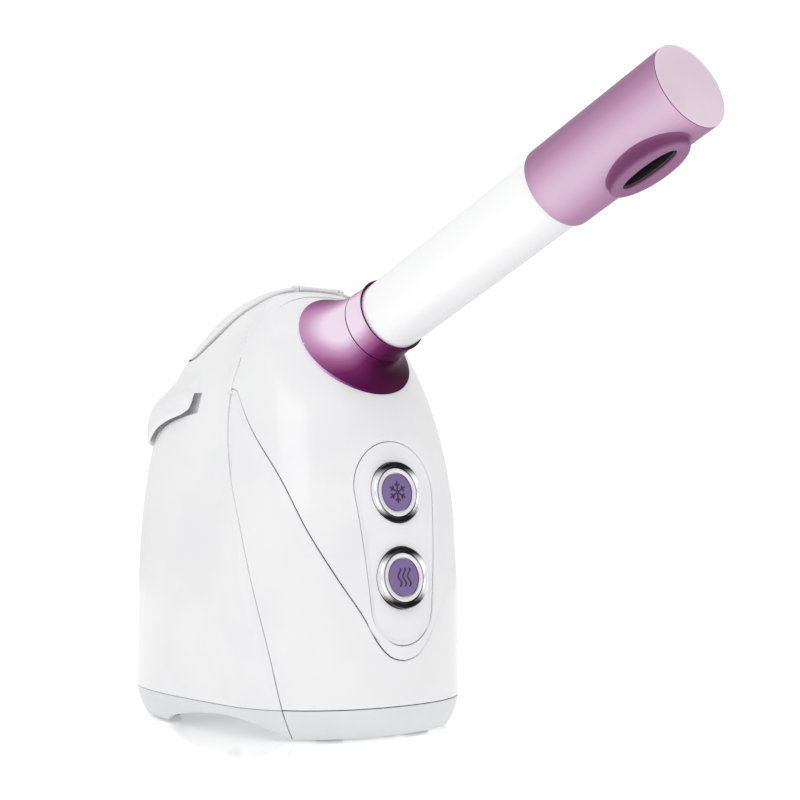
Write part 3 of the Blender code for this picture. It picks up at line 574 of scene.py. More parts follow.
# the collar's painted light comes from this direction: faces turned towards it are painted a near-white
# highlight, faces turned across it deep plum shade, faces turned away lilac again
collarLight = Vector((-1, 0, 0)) + armUp * 0.12 + Vector(armAxis) * 0.12
looks = {
    "white_gloss": mouldedPlastic("whiteShell", (0.86, 0.86, 0.868, 1), (0.82, 0.82, 0.832, 1), 0.16,
                                  0.05, coat=0.35),
    "panel_grey": mouldedPlastic("panelGrey", (0.87, 0.87, 0.88, 1), (0.83, 0.83, 0.845, 1), 0.34, 0.2),
    "trim_grey": mouldedPlastic("trimGrey", (0.77, 0.775, 0.785, 1), (0.72, 0.725, 0.74, 1), 0.32, 0.2),
    "pearl_purple": pearlPaintedShade("pearlCollarPaintedShade", collarLight, [
        (0.0, hue(214, 172, 206)), (0.08, hue(150, 90, 140)), (0.2, hue(56, 0, 40)), (0.42, hue(56, 0, 40)),
        (0.56, hue(78, 10, 62)), (0.7, hue(112, 38, 96)), (0.8, hue(160, 96, 146)),
        (0.88, hue(200, 152, 190)),
        (0.95, hue(238, 220, 238))], 0.3, 0.05),
    # pearl lilac with painted light: faces turned along or against this fixed direction are painted a light lilac
    # highlight, faces at right angles to it deeper plum shade
    "pearl_lilac": pearlPaintedShade("pearlHeadPaintedShade", (-0.80, -0.38, -0.46), [
        (0.0, hue(214, 186, 208)), (0.06, hue(196, 158, 188)), (0.2, hue(160, 112, 148)),
        (0.5, hue(138, 88, 126)),
        (0.72, hue(156, 108, 144)), (0.86, hue(178, 134, 168)), (0.95, hue(200, 164, 192)),
        (1.0, hue(214, 186, 208))], 0.32),
    "cap_lilac": mouldedPlastic("capLilac", hue(226, 206, 219), hue(216, 194, 209), 0.3, 0.08, coat=0.3),
    "satin_silver": turnedMetal("satinSilver", (0.86, 0.86, 0.88, 1), 0.22, coolCentre, buttonAxis),
    "button_purple": mouldedPlastic("violetDisc", hue(124, 101, 154), hue(112, 90, 142), 0.34, 0.3),
    "black_plastic": mouldedPlastic("blackPlastic", (0.018, 0.018, 0.02, 1), (0.03, 0.03, 0.032, 1), 0.42,
                                    0.3),
    "rubber": mouldedPlastic("darkRubber", (0.03, 0.03, 0.032, 1), (0.05, 0.05, 0.052, 1), 0.72, 0.5),
    "silicone": mouldedPlastic("paleSilicone", (0.72, 0.72, 0.69, 1), (0.64, 0.64, 0.61, 1), 0.5, 0.3),
    "clear_tank": clearPlastic(),
    "aluminium": plainMetal("castAluminium", (0.74, 0.75, 0.76, 1), 0.28, 0.2),
    "steel": plainMetal("screwSteel", (0.56, 0.56, 0.57, 1), 0.2, 0.15),
    "brass": plainMetal("warmBrass", (0.76, 0.55, 0.24, 1), 0.22, 0.15),
    "board_green": boardGreen(),
}
# pearl plum with painted shade: faces at right angles to the arm's up, the spout's side walls, are painted darker
# than those turned up or down
spoutPaintedShade = pearlPaintedShade("pearlSpoutPaintedShade", armUp, [
    (0.0, hue(144, 102, 136)), (0.3, hue(130, 80, 118)), (0.55, hue(112, 58, 98)),
    (1.0, hue(146, 92, 132))], 0.3)
# white with painted shade: faces turned right, frontwards and down are painted grey, the rest white
tubePaintedShade = pearlPaintedShade("whiteTubePaintedShade", (0.67, -0.48, -0.57), [
    (0.0, (0.93, 0.93, 0.935, 1)), (0.55, (0.93, 0.93, 0.935, 1)), (0.8, (0.78, 0.78, 0.79, 1)),
    (1.0, (0.56, 0.56, 0.575, 1))], 0.16, 0.4)
ink = mouldedPlastic("darkViolet", hue(38, 24, 66), hue(46, 30, 78), 0.4, 0.1)
coolChrome = chromePaintedReflection("coolChrome", coolCentre.z, 13.3)
hotChrome = chromePaintedReflection("hotChrome", hotCentre.z, 13.3)
hotSilver = turnedMetal("hotSilver", (0.86, 0.86, 0.88, 1), 0.22, hotCentre, buttonAxis)
print("finishes mixed:", len(looks) + 6)

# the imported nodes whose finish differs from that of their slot
ownLooks = {"cool_bezel": coolChrome, "hot_bezel": hotChrome, "hot_button": hotSilver,
             "mist_outlet": spoutPaintedShade, "arm_tube": tubePaintedShade}


def dressNodes():
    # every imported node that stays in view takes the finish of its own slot
    slots = {part["node"]: part["material_slot"] for part in frame["record"]["subparts"]}
    for name, node in cadNodes.items():
        node.data.materials.clear()
        node.data.materials.append(ownLooks.get(name, looks.get(slots[name])))


rear = {"across": 220, "up": 84, "bead": 0.4, "beadStart": 0.7, "beadWidth": 5.6, "seamGap": 0.1,
        "evenShare": 0.38, "inletLow": (-12, 150, 24), "inletHigh": (12, 180, 39)}


def rearShell():
    def place(u, v):
        climb = v * math.pi / 2
        z = body["base"] + (body["top"] - body["base"]) * math.sin(climb)
        start = seamAngle(z, rear["seamGap"])
        spread = (1 - rear["evenShare"]) * eased(u) + rear["evenShare"] * u
        angle = start + (math.pi - 2 * start) * spread
        y = bodyPoint(angle, z).y
        gone = (y - seamY(z) - rear["beadStart"]) / rear["beadWidth"]
        out = rear["bead"] * math.sin(math.pi * gone) ** 2 if 0 < gone < 1 else 0
        return bodyPoint(angle, z, out * (1 - between(z, 178, 192)))
    shell = wrapGrid("rearShell", rear["across"], rear["up"], place)
    faceOut(shell, (0, 80, 100))
    thickened(shell, body["wall"])
    joined(shell, lidGapCutter())
    joined(shell, gripLip(), "UNION")
    joined(shell, backSweep("slotCutter", slotOutline, slotShape["endY"], slotShaped, 90))
    joined(shell, boxCutter(rear["inletLow"], rear["inletHigh"]))
    for side in (-1, 1):
        near, far = earSpan(side)
        joined(shell, boxCutter((near, 63.3, 195.9), (far, 65.5, 198.6)), "UNION")
        joined(shell, hingeRod("knuckle", earShape["knuckle"], near, far), "UNION")
    bevelled(shell, 0.35, 3, 50)
    smoothed(shell, 36)
    return finished(shell, looks["white_gloss"], "stand", ["rear_housing"])


grip = {"level": 145.0, "endY": 92.0, "top": 152.0, "blend": 20.0, "endRound": 7.0, "dip": 11.0,
        "root": -1.4, "sweepLength": 190,
        "rise": [(80, 15.4), (92, 14.4), (103, 13.1), (115, 10.8), (125, 7.6), (135, 3.4), (148, 0.5),
                 (170, 0)]}
slotShape = {"endY": 88.5, "low": 126.1, "high": 150.2, "out": 1.4, "within": -6, "deep": 11.0,
             "endDeep": 2.6}
slotOutline = [(slotShape["within"], slotShape["low"]), (slotShape["out"], slotShape["low"]),
               (slotShape["out"], slotShape["high"]), (slotShape["within"], slotShape["high"])]
lipOutline = [(-1.4, 160.5), (-0.25, 159.0), (0.3, 157.0), (1.15, 154.6), (2.2, 152.0), (3.5, 149.2),
              (4.6, 146.2), (5.15, 142.8), (5.25, 139.4), (5.05, 136.4), (4.6, 133.0), (4.0, 130.0),
              (3.2, 127.6),
              (2.5, 126.6), (1.95, 127.2), (1.85, 129.0), (2.1, 135.0), (2.2, 141.0), (2.1, 147.6),
              (1.2, 150.6),
              (-1.4, 151.8)]
riseCurve = curveThrough(grip["rise"], 6)


def gripShape(angle, out, z):
    y = bodyPoint(angle, grip["level"]).y
    rise = next(low.y + (high.y - low.y) * (y - low.x) / (high.x - low.x)
                for low, high in zip(riseCurve, riseCurve[1:]) if y <= high.x)
    return out, z + rise * min(max((grip["top"] - z) / grip["blend"], 0), 1)


def slotShaped(angle, out, z):
    if z > grip["level"]:
        return out, z
    return out, gripShape(angle, out, z)[1] - grip["dip"] * max(0, math.sin(angle)) ** 16


def pocketShaped(angle, out, z):
    deepest = slotShape["endDeep"] + (slotShape["deep"] - slotShape["endDeep"]) * max(0, math.sin(angle)) ** 6
    if out < -4:
        out += slotShape["deep"] - deepest
    return slotShaped(angle, out, z)


def backSweep(name, outline, endY, shape, steps, endRound=0.0):
    # a closed outline of (distance out, z) carried round the back from side to side
    first = angleAtY(endY, grip["level"])
    count = len(outline)

    def place(u, v):
        out, z = outline[round(v * count) % count]
        angle = first + (math.pi - 2 * first) * u
        if endRound:
            gone = min(u, 1 - u) * grip["sweepLength"] / endRound
            full = math.sqrt(1 - (1 - min(gone, 1)) ** 2)
            out = grip["root"] + (out - grip["root"]) * full
            z = grip["level"] + (z - grip["level"]) * (0.6 + 0.4 * full)
        out, z = shape(angle, out, z)
        return bodyPoint(angle, z, out)
    return closeEnds(wrapGrid(name, steps, count, place))


def gripLip():
    return backSweep("gripLip", lipOutline, grip["endY"], gripShape, 150, grip["endRound"])


def pocketLiner():
    deep, low, high = -slotShape["deep"], slotShape["low"], slotShape["high"]
    outline = [(-2.7, low - 0.5), (-2.7, low - 2), (deep - 1.4, low - 2), (deep - 1.4, high + 2),
               (-2.7, high + 2),
               (-2.7, high + 0.5), (deep + 0.6, high + 0.5), (deep, high - 0.1), (deep, low + 0.1),
               (deep + 0.6, low - 0.5)]
    liner = backSweep("pocketLiner", outline, slotShape["endY"] - 4, pocketShaped, 90)
    smoothed(bevelled(liner, 0.25, 2), 40)
    return finished(liner, looks["white_gloss"], "stand", ["grip_liner"])


lidEdge = [(0, 62.6), (13.7, 62.7), (22, 64.6), (28, 70), (33.5, 79.5), (38, 89), (40, 100), (39.5, 109),
           (36.5, 117), (30, 124), (20, 128.5), (0, 130)]
lidShape = {"raise": 1.0, "wall": 2.0, "middle": (0, 99), "pivot": (0, 64.4, 198.6), "barrel": 1.2,
            "halfBarrel": 10.9, "flushFrom": 86, "flushBy": 118, "flush": 0.94}
earShape = {"near": 11.5, "far": 14.3, "knuckle": 1.15, "play": 0.2}


def lidOutline(grow, steps=6):
    half = curveThrough(lidEdge[1:], steps)
    outline = half + [Vector((-point.x, point.y)) for point in reversed(half[:-1])]
    middle = Vector(lidShape["middle"])
    return [middle + (point - middle) * (1 + grow / (point - middle).length) for point in outline]


def lidGapCutter():
    return outlineCutter(lidOutline(0.3), 120, 220, lambda x, y, z: (x, y, z))


def earSpan(side, play=0.0):
    # the ends of a hinge ear along X, with play for the notch that clears it
    return sorted((side * (earShape["near"] - play), side * (earShape["far"] + play)))


def hingeRod(name, radius, near, far):
    profile = [(0, near), (radius, near), (radius, far), (0, far)]
    return spun(name, profile, lidShape["pivot"], acrossAxis, 24)


def tankLid():
    edge = lidOutline(0.0)
    edge.append(edge[0])
    around = alongCurve(edge)
    middle = Vector(lidShape["middle"])

    def place(u, v):
        spot = middle.lerp(around(u), 1 - (1 - v) ** 1.25)
        lifted = lidShape["raise"] * (1 - lidShape["flush"] * between(spot.y, lidShape["flushFrom"],
                                                                      lidShape["flushBy"]))
        return spot.x, spot.y, topHeight(spot.x, spot.y, lifted)
    lid = wrapGrid("tankLid", 180, 40, place)
    faceOut(lid, (0, 99, 100))
    thickened(lid, lidShape["wall"])
    half = lidShape["halfBarrel"]
    joined(lid, hingeRod("lidBarrel", lidShape["barrel"], -half, half), "UNION")
    for side in (-1, 1):
        near, far = earSpan(side, earShape["play"])
        joined(lid, boxCutter((near, 62.5, 190), (far, 66.3, 203)))
    smoothed(bevelled(lid, 0.4, 3, 50), 36)
    return finished(lid, looks["white_gloss"], "lid", ["tank_lid"])


def softEdge(share, width, radius):
    # how far a rounded edge falls below its face, a share of the way across a width
    near = min(min(share, 1 - share) * width / radius, 1)
    return radius * (1 - math.sqrt(1 - (1 - near) ** 2))


def eased(share):
    # packs rows close to both edges, so that the rounding has rows of its own
    return (1 - math.cos(math.pi * share)) / 2


def stripAcross(outer, outerClimb, inner, innerClimb, v, mirrored, out, radius):
    # a spot on a strip of casing between two edges, with both edges rounded off
    v = eased(v)
    width = math.hypot((inner - outer) * angleScale, (innerClimb - outerClimb) * climbScale)
    angle = outer + (inner - outer) * v
    if mirrored:
        angle = otherSide(angle)
    return surfaceAt(angle, outerClimb + (innerClimb - outerClimb) * v, out - softEdge(v, width, radius))


frontShape = {"across": 200, "corner": 0.84, "rows": 56, "gap": 0.16, "seamGap": 0.1, "round": 0.8}


def frontShell():
    # a U of shell between the seam, the base and the fascia's shield edge
    shieldAt = shieldCurve(frontShape["gap"])

    def place(u, v):
        half = 1 - abs(2 * u - 1)  # 0 at the two tips, 1 in the middle of the front
        inner, innerClimb = shieldPoint(shieldAt, 1 - half)
        corner = frontShape["corner"]
        if half < corner:
            z = shieldTop + (body["base"] - shieldTop) * half / corner
            outer, outerClimb = seamAngle(z, -frontShape["seamGap"]), climbOf(z)
        else:
            start = seamAngle(body["base"], -frontShape["seamGap"])
            outer = start + (-math.pi / 2 - start) * (half - corner) / (1 - corner)
            outerClimb = 0
        return stripAcross(outer, outerClimb, inner, innerClimb, v, u > 0.5, 0.0, frontShape["round"])
    shell = wrapGrid("frontShell", frontShape["across"], frontShape["rows"], place)
    faceOut(shell, (0, 80, 100))
    smoothed(thickened(shell, body["wall"]), 36)
    return finished(shell, looks["white_gloss"], "stand", ["front_housing"])


panelShape = {"topZ": 105.2, "topR": 21.5, "lowZ": 56.0, "lowR": 16.6, "sink": 0.7, "lip": 2.6, "wall": 2.2,
              "buttonHole": 13.55, "middleZ": 83}


def panelOutline(grow):
    # two arcs joined by their common tangents, from the middle of the bottom round the right side
    lean = math.asin((panelShape["topR"] - panelShape["lowR"]) / (panelShape["topZ"] - panelShape["lowZ"]))
    outline = []
    for step in range(25):
        turn = -math.pi / 2 + (math.pi / 2 - lean) * step / 24
        outline.append(Vector((math.cos(turn), math.sin(turn))) * (panelShape["lowR"] + grow)
                       + Vector((0, panelShape["lowZ"])))
    for step in range(37):
        turn = -lean + (math.pi / 2 + lean) * step / 36
        outline.append(Vector((math.cos(turn), math.sin(turn))) * (panelShape["topR"] + grow)
                       + Vector((0, panelShape["topZ"])))
    return outline


fasciaShape = {"raise": 0.8, "wall": 2.9, "across": 240, "rows": 70, "shieldShare": 0.6, "round": 0.9,
               "armHole": 18.9}


def frontFascia():
    panelAt = alongCurve(panelOutline(0.3))
    shieldAt = shieldCurve(0.0)

    def place(u, v):
        half = 1 - abs(2 * u - 1)  # 0 at the bottom of the shield, 1 at the crown
        share = fasciaShape["shieldShare"]
        if half < share:
            outer, outerClimb = shieldPoint(shieldAt, half / share)
        else:
            low, high = climbOf(shieldTop), climbOf(crownMeet)
            outerClimb = low + (high - low) * (half - share) / (1 - share)
            outer = seamAngle(body["base"] + (body["top"] - body["base"]) * math.sin(outerClimb),
                              -frontShape["seamGap"])
        spot = panelAt(half)
        inner, innerClimb = angleAtX(spot.x, spot.y), climbOf(spot.y)
        return stripAcross(outer, outerClimb, inner, innerClimb, v, u > 0.5, fasciaShape["raise"],
                           fasciaShape["round"])
    fascia = wrapGrid("frontFascia", fasciaShape["across"], fasciaShape["rows"], place)
    faceOut(fascia, (0, 80, 100))
    thickened(fascia, fasciaShape["wall"])
    way, deep, clear = fasciaShape["armHole"], -70, 20
    joined(fascia, spun("armWay", [(0, deep), (way, deep), (way, clear), (0, clear)], armStart, armAxis, 64))
    smoothed(fascia, 36)
    return finished(fascia, looks["white_gloss"], "stand", ["front_fascia"])


def controlPanel():
    half = panelOutline(0.0)
    edge = half + [Vector((-point.x, point.y)) for point in reversed(half[:-1])]
    around = alongCurve(edge)
    middle = Vector((0, panelShape["middleZ"]))

    def place(u, v):
        rim = around(u)
        spot = middle.lerp(rim, 1 - (1 - v) ** 1.6)
        fromEdge = (rim - spot).length
        out = -panelShape["sink"] * between(fromEdge, 0.4, panelShape["lip"])
        return surfaceAt(angleAtX(spot.x, spot.y), climbOf(spot.y), out)
    panel = wrapGrid("controlPanel", 160, 44, place)
    faceOut(panel, (0, 80, 83))
    thickened(panel, panelShape["wall"])
    for centre in (coolCentre, hotCentre):
        way, deep, clear = panelShape["buttonHole"], -12, 9
        joined(panel, spun("buttonWay", [(0, deep), (way, deep), (way, clear), (0, clear)], centre,
                           buttonAxis, 72))
    smoothed(bevelled(panel, 0.3, 3, 50), 36)
    return finished(panel, looks["panel_grey"], "stand", ["control_panel"])


bandOutline = [(0.1, 13.4), (0.35, 12.9), (1.0, 9.5), (2.4, 5.0), (4.2, 1.6), (4.8, 1.0), (6.6, 1.0),
               (6.9, 1.4),
               (4.8, 5.0), (3.4, 9.5), (2.7, 13.4)]
bandGap = 0.15  # half the slit between the two halves
archOutline = [(24, -2), (27, 3.2), (35, 7), (46, 9), (58, 9.3), (76, 8), (92, 5.8), (106, 2.8), (114, -2)]


def baseBand(name, front, node):
    # one half of the base band, split where the seam runs down
    count = len(bandOutline)
    shift = -bandGap if front else bandGap

    def place(u, v):
        inset, z = bandOutline[round(v * count) % count]
        first = angleAtY(seamY(z) + shift, body["base"])
        if front:
            angle = otherSide(first) + (first - otherSide(first)) * u
        else:
            angle = first + (math.pi - 2 * first) * u
        spot = bodyPoint(angle, body["base"], -inset)
        return spot.x, spot.y, z
    band = wrapGrid(name, 90 if front else 190, count, place)
    closeEnds(band)
    arch = [tuple(point) for point in curveThrough(archOutline, 5)]
    joined(band, outlineCutter(arch, -90, 90, lambda y, z, x: (x, y, z)))
    smoothed(bevelled(band, 0.35, 3, 55), 36)
    return finished(band, looks["trim_grey"], "stand", [node])


foot = {"places": {"foot_front_left": (-24, 23), "foot_front_right": (24, 23),
                   "foot_rear_left": (-38, 130), "foot_rear_right": (38, 130)},
        "outline": [(0, 0), (4.7, 0), (5.3, 0.25), (5.75, 0.9), (5.8, 1.5), (5.8, 2.9), (0, 2.9)]}


def feet():
    first = spun("padFoot", foot["outline"], (0, 0, 0), (0, 0, 1), 48)
    smoothed(first, 40)
    for name, (x, y) in foot["places"].items():
        pad = first.copy()
        pad.data = first.data.copy()
        pad.name = name.replace("foot_", "pad_")
        bpy.context.collection.objects.link(pad)
        for vertex in pad.data.vertices:
            vertex.co += Vector((x, y, 0)) * mm
        finished(pad, looks["rubber"], "stand", [name])
    bpy.data.objects.remove(first)


collar = {"centre": Vector((0, 36.65, 169.75)), "radius": 28.4, "rise": math.radians(38.4), "split": -10.3,
          "midR": 17.4, "bend": 11.0, "lift": 1.0, "wall": 1.0}


def onFront(point, axis):
    # where a point moved along an axis meets the fascia
    out = fasciaShape["raise"]
    near, far = -30.0, 30.0
    for _ in range(32):
        middle = (near + far) / 2
        trial = point + axis * middle
        width, front, back, widest = bodySection(trial.z, out)
        part = max(1 - abs(trial.x / width) ** body["frontRound"], 0) if width > 0 else 0
        surface = widest - (widest - front) * part ** (1 / body["frontRound"])
        behind = trial.z < body["top"] + out and trial.y > surface
        near, far = (middle, far) if behind else (near, middle)
    return point + axis * near


def collarSkirt():
    skirtAxis = Vector((0, -math.cos(collar["rise"]), math.sin(collar["rise"])))
    skirtUp = skirtAxis.cross(acrossAxis)
    bandUp = armAxis.cross(acrossAxis)
    columns = {}

    def column(turn):
        rim = collar["centre"] + (acrossAxis * math.cos(turn) + skirtUp * math.sin(turn)) * collar["radius"]
        foot = onFront(rim, skirtAxis)
        mid = armStart + armAxis * collar["split"]
        mid += (acrossAxis * math.cos(turn) + bandUp * math.sin(turn)) * collar["midR"]
        return foot, foot + skirtAxis * collar["lift"], mid - armAxis * collar["bend"], mid

    def place(u, v):
        if u not in columns:
            columns[u] = column(math.tau * u)
        foot, lifted, bend, mid = columns[u]
        if v < 0.1:
            return foot - (lifted - foot) * 0.6 + (lifted - foot) * 1.6 * v / 0.1
        t = (v - 0.1) / 0.9
        return lifted * (1 - t) ** 2 + bend * 2 * t * (1 - t) + mid * t ** 2
    skirt = wrapGrid("collarSkirt", 144, 40, place)
    faceOut(skirt, tuple(armStart - armAxis * 25))
    thickened(skirt, collar["wall"])
    smoothed(bevelled(skirt, 0.3, 3, 55), 36)
    return finished(skirt, looks["pearl_purple"], "stand", ["collar_skirt"])


ringOutline = [(16.25, -10.0), (17.1, -10.0), (17.4, -9.7), (17.25, -8.2), (17.0, -6.0), (16.85, -3.6),
               (16.85, -1.6), (17.0, -0.2), (17.25, 0.7), (17.2, 1.05), (16.9, 1.2), (16.4, 1.1),
               (16.25, 0.7)]


def collarRing():
    ring = spun("collarBand", ringOutline, armStart, armAxis, 128, closed=True)
    smoothed(ring, 40)
    return finished(ring, looks["pearl_purple"], "collar", ["collar_ring"])


arm = {"radius": 15.9, "wall": 2.2, "innerEnd": -48.0, "outerEnd": 119.0}


def armTube():
    outer, inner = arm["radius"], arm["radius"] - arm["wall"]
    low, high = arm["innerEnd"], arm["outerEnd"]
    outline = [(inner, low + 0.4), (inner + 0.4, low), (outer - 0.4, low), (outer, low + 0.4)]
    outline += [(outer, low + (high - low) * step / 24) for step in range(1, 24)]
    outline += [(outer, high - 0.4), (outer - 0.4, high), (inner + 0.4, high), (inner, high - 0.4)]
    tube = spun("slidingTube", outline, armStart, armAxis, 128, closed=True)
    smoothed(tube, 40)
    finished(tube, tubePaintedShade, "arm", ["arm_tube"])


head = {"start": 111.0, "end": 183.6, "radius": 17.4, "spoutAt": 157.0, "spoutTurn": math.radians(10),
        "halfLength": 19.5, "halfWidth": 8.6, "reach": 21.2, "slotLength": 13.5, "slotWidth": 3.2}


def spoutAxis():
    down = -armUp
    return (down * math.cos(head["spoutTurn"]) - acrossAxis * math.sin(head["spoutTurn"])).normalized()


def spoutOval(name, outline, steps=96, closed=True):
    # an oval ring on the nozzle; the outline gives (share from outer oval to slot, reach or height over the head)
    out = spoutAxis()
    across = armAxis.cross(out)
    middle = armStart + armAxis * head["spoutAt"]
    count = len(outline)

    def place(u, v):
        share, reach, fromHead = outline[round(v * count) % count if closed else round(v * (count - 1))]
        turn = math.tau * u
        long = head["halfLength"] + (head["slotLength"] - head["halfLength"]) * share
        wide = head["halfWidth"] + (head["slotWidth"] - head["halfWidth"]) * share
        side = wide * math.sin(turn)
        if fromHead:
            reach += math.sqrt(head["radius"] ** 2 - side ** 2)
        return middle + out * reach + armAxis * long * math.cos(turn) + across * side
    return wrapGrid(name, steps, count if closed else count - 1, place)


def nozzle():
    r, low, high = head["radius"], head["start"], head["end"]
    outline = [(r - 0.9, low + 0.3), (r - 0.5, low), (r - 0.15, low + 0.1), (r, low + 0.5)]
    outline += [(r, low + (high - low) * step / 16) for step in range(1, 16)]
    outline += [(r, high - 1.6), (r - 0.08, high - 1.3), (r - 0.35, high - 1.15), (r - 2, high - 1.15),
                (r - 2, low + 10), (r - 3.2, low + 10), (r - 3.2, low + 8.4), (r - 0.9, low + 8.4)]
    shell = spun("nozzleShell", outline, armStart, armAxis, 144, closed=True)
    cutter = spoutOval("spoutWay", [(0.36, 2, False), (0.36, 30, False)], 72, closed=False)
    closeEnds(cutter)
    joined(shell, cutter)
    smoothed(shell, 36)
    finished(shell, looks["pearl_lilac"], "nozzle", ["nozzle_head"])
    spout = spoutOval("mistSpout", [
        (-0.16, 0.02, True), (-0.1, 0.25, True), (-0.04, 0.7, True), (0.0, 1.5, True), (0.01, 19.8, False),
        (0.03, 20.5, False), (0.08, 21.0, False), (0.14, 21.2, False), (0.26, 21.15, False),
        (0.8, 20.9, False),
        (0.92, 20.8, False), (0.985, 20.6, False), (1.0, 20.2, False), (1.0, 16.0, False), (0.8, 15.8, False),
        (0.44, 15.8, False), (0.4, -0.1, True)])
    smoothed(spout, 50)
    finished(spout, spoutPaintedShade, "nozzle", ["mist_outlet"])
    liner = spoutOval("slotLiner", [
        (1.05, 19.9, False), (1.09, 20.05, False), (1.16, 19.9, False), (1.2, 12.8, False),
        (1.05, 12.8, False)])
    smoothed(liner, 50)
    finished(liner, looks["black_plastic"], "nozzle", ["outlet_liner"])
    cap = spun("headCap", [(0, high + 1.0), (6, high + 0.88), (11, high + 0.55), (14.6, high + 0.12),
                           (16.2, high - 0.14),
                           (16.9, high - 0.32), (r - 0.12, high - 0.6), (r - 0.1, high - 0.9),
                           (r - 0.3, high - 1.0),
                           (15.2, high - 1.0), (15.2, high - 2.7), (0, high - 2.7)], armStart, armAxis, 144)
    smoothed(cap, 40)
    finished(cap, looks["cap_lilac"], "nozzle", ["nozzle_end_cap"])


bezelOutline = [(10.9, -7), (13.3, -7), (13.3, 0.2), (13.22, 0.7), (12.95, 1.1), (12.5, 1.3), (12.1, 1.22),
                (11.5, 0.8), (11.05, 0.45), (10.9, 0.1)]
capOutline = [(0, -0.9), (8.5, -0.9), (8.5, 0.0), (8.6, 0.14), (9.1, 0.3), (9.8, 0.42), (10.3, 0.4),
              (10.55, 0.2),
              (10.6, -0.1), (10.6, -7.4), (12.1, -7.4), (12.1, -9.2), (3.0, -9.2), (3.0, -12.4), (0, -12.4)]
discOutline = [(0, 0.3), (3, 0.27), (6, 0.16), (7.7, 0.02), (8.1, -0.1), (8.2, -0.3), (8.2, -0.7), (0, -0.7)]


def buttons():
    for kind, centre, chrome, silver in (("cool", coolCentre, coolChrome, looks["satin_silver"]),
                                         ("hot", hotCentre, hotChrome, hotSilver)):
        bezel = spun(kind + "Bezel", bezelOutline, centre, buttonAxis, 128, closed=True)
        finished(smoothed(bezel, 45), chrome, "stand", [kind + "_bezel"])
        cap = spun(kind + "Cap", capOutline, centre, buttonAxis, 128)
        finished(smoothed(cap, 40), silver, kind + "_button", [kind + "_button"])
        disc = spun(kind + "Disc", discOutline, centre, buttonAxis, 96)
        finished(smoothed(disc, 40), looks["button_purple"], kind + "_button", [kind + "_button_inset"])


mark = {"height": 0.22, "base": 0.2, "arm": 4.7, "width": 0.62, "branch": 1.6,
        "spread": 60, "first": 30, "lean": 0.9, "branchAt": 0.55, "thinner": 0.85, "step": 0.012}


def onDisc(centre, across, up, height):
    return centre + acrossAxis * across + buttonRise * up + buttonAxis * height


def markBar(centre, start, end, width, lowHeight):
    # a thin raised bar between two places on a disc
    run = Vector(end) - Vector(start)
    side = Vector((-run.y, run.x)).normalized() * width / 2
    corners = [Vector(start) + side, Vector(start) - side, Vector(end) - side, Vector(end) + side]
    return outlineCutter(corners, lowHeight, lowHeight + mark["height"],
                         lambda across, up, height: onDisc(centre, across, up, height))


def joinPieces(name, pieces):
    clearSelection()
    for piece in pieces:
        piece.select_set(True)
    bpy.context.view_layer.objects.active = pieces[0]
    bpy.ops.object.join()
    pieces[0].name = name
    return pieces[0]


def snowMark():
    bars = []
    for k in range(6):
        turn = math.radians(mark["spread"] * k + mark["first"])
        way = Vector((math.cos(turn), math.sin(turn)))
        bars.append(markBar(coolCentre, way * 0.3, way * mark["arm"], mark["width"], mark["base"]))
        for lean in (-1, 1):
            splay = turn + lean * mark["lean"]
            tip = Vector((math.cos(splay), math.sin(splay)))
            start = way * mark["arm"] * mark["branchAt"]
            bars.append(markBar(coolCentre, start, start + tip * mark["branch"],
                                mark["width"] * mark["thinner"],
                                mark["base"] + mark["step"] * (k + 1)))
    flake = joinPieces("snowMark", bars)
    finished(flake, ink, "cool_button")


steam = {"length": 8, "sway": 0.8, "turn": 6, "apart": 2.6, "half": 0.36, "sunk": -0.1}


def steamMark():
    waves = []
    for k in (-1, 0, 1):
        def place(u, v):
            up = steam["length"] * (u - 0.5)
            lean = steam["sway"] * math.sin(math.tau * u * steam["length"] / steam["turn"])
            corner = round(v * 4) % 4
            across = k * steam["apart"] + lean + (steam["half"] if corner in (1, 2) else -steam["half"])
            height = mark["base"] + (mark["height"] if corner in (2, 3) else steam["sunk"])
            return onDisc(hotCentre, across, up, height)
        wave = wrapGrid("wave", 40, 4, place)
        closeEnds(wave)
        waves.append(wave)
    finished(joinPieces("steamMark", waves), ink, "hot_button")


studio = {"world": 0.84, "backdrop": 1.1, "key": 1.9, "fill": 0.3, "top": 0.9, "floor": 1.4, "floorGlow": 0.3}


def softBox(name, place, target, size, power):
    clearSelection()
    bpy.ops.object.light_add(type="AREA", location=place)
    lamp = bpy.context.object
    lamp.name = name
    lamp.data.shape = "RECTANGLE"
    lamp.data.size, lamp.data.size_y = size
    lamp.data.energy = power
    lamp.rotation_euler = (Vector(target) - Vector(place)).to_track_quat("-Z", "Y").to_euler()


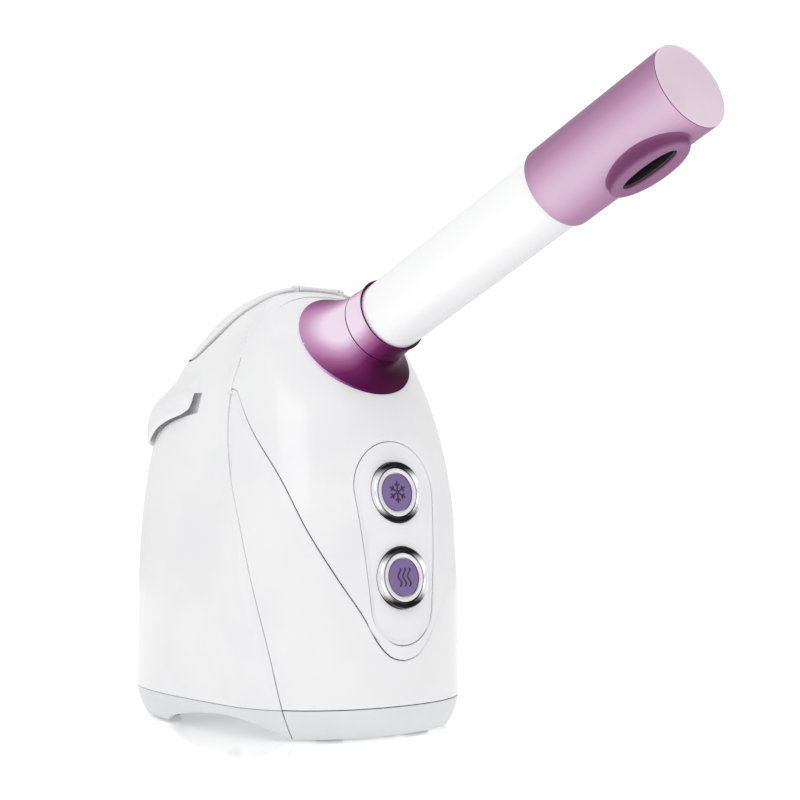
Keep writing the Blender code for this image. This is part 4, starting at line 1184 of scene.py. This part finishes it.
def studioSet():
    clearSelection()
    bpy.ops.mesh.primitive_circle_add(vertices=96, radius=studio["floor"], fill_type="NGON")
    floor = bpy.context.object
    floor.name = "studioFloor"
    made = Finish("floorWhite", Emission_Color=(1, 1, 1, 1), Emission_Strength=studio["floorGlow"])
    grain = made.noise(30, 2)
    made.paint(Base_Color=made.blend(grain, (0.9, 0.9, 0.9, 1), (0.88, 0.88, 0.88, 1)),
               Roughness=0.07 + 0.05 * grain)
    floor.data.materials.append(made.material)
    world = bpy.data.worlds.new("whiteRoom")
    bpy.context.scene.world = world
    world.use_nodes = True
    backdrop = world.node_tree.nodes["Background"]
    path = world.node_tree.nodes.new("ShaderNodeLightPath")
    level = world.node_tree.nodes.new("ShaderNodeMapRange")
    level.inputs["To Min"].default_value = studio["world"]
    level.inputs["To Max"].default_value = studio["backdrop"]
    world.node_tree.links.new(path.outputs["Is Camera Ray"], level.inputs["Value"])
    world.node_tree.links.new(level.outputs["Result"], backdrop.inputs["Strength"])
    backdrop.inputs["Color"].default_value = (1, 1, 1, 1)
    softBox("keyLight", (-0.9, -0.5, 0.7), (0, 0, 0.13), (0.7, 0.7), studio["key"])
    softBox("fillLight", (0.5, -1.0, 0.35), (0, 0, 0.12), (0.5, 0.7), studio["fill"])
    softBox("topLight", (0.1, 0.2, 1.1), (0, 0.05, 0.1), (0.9, 0.9), studio["top"])
    clearSelection()
    bpy.ops.object.camera_add(location=camera["place"],
                              rotation=[math.radians(turn) for turn in camera["turn"]])
    eye = bpy.context.object
    eye.data.lens = camera["lens"]
    bpy.context.scene.camera = eye
    bpy.context.scene.view_settings.view_transform = "Standard"


studioSet()
dressNodes()
print("studio set and nodes dressed")
rearShell()
print("rear shell formed")
pocketLiner()
tankLid()
print("lid and pocket formed")
frontShell()
frontFascia()
controlPanel()
print("front formed")
baseBand("frontBand", True, "front_base_trim")
baseBand("rearBand", False, "rear_base_trim")
feet()
print("base formed")
collarSkirt()
collarRing()
armTube()
nozzle()
print("arm and nozzle formed")
buttons()
snowMark()
steamMark()
print("buttons formed")
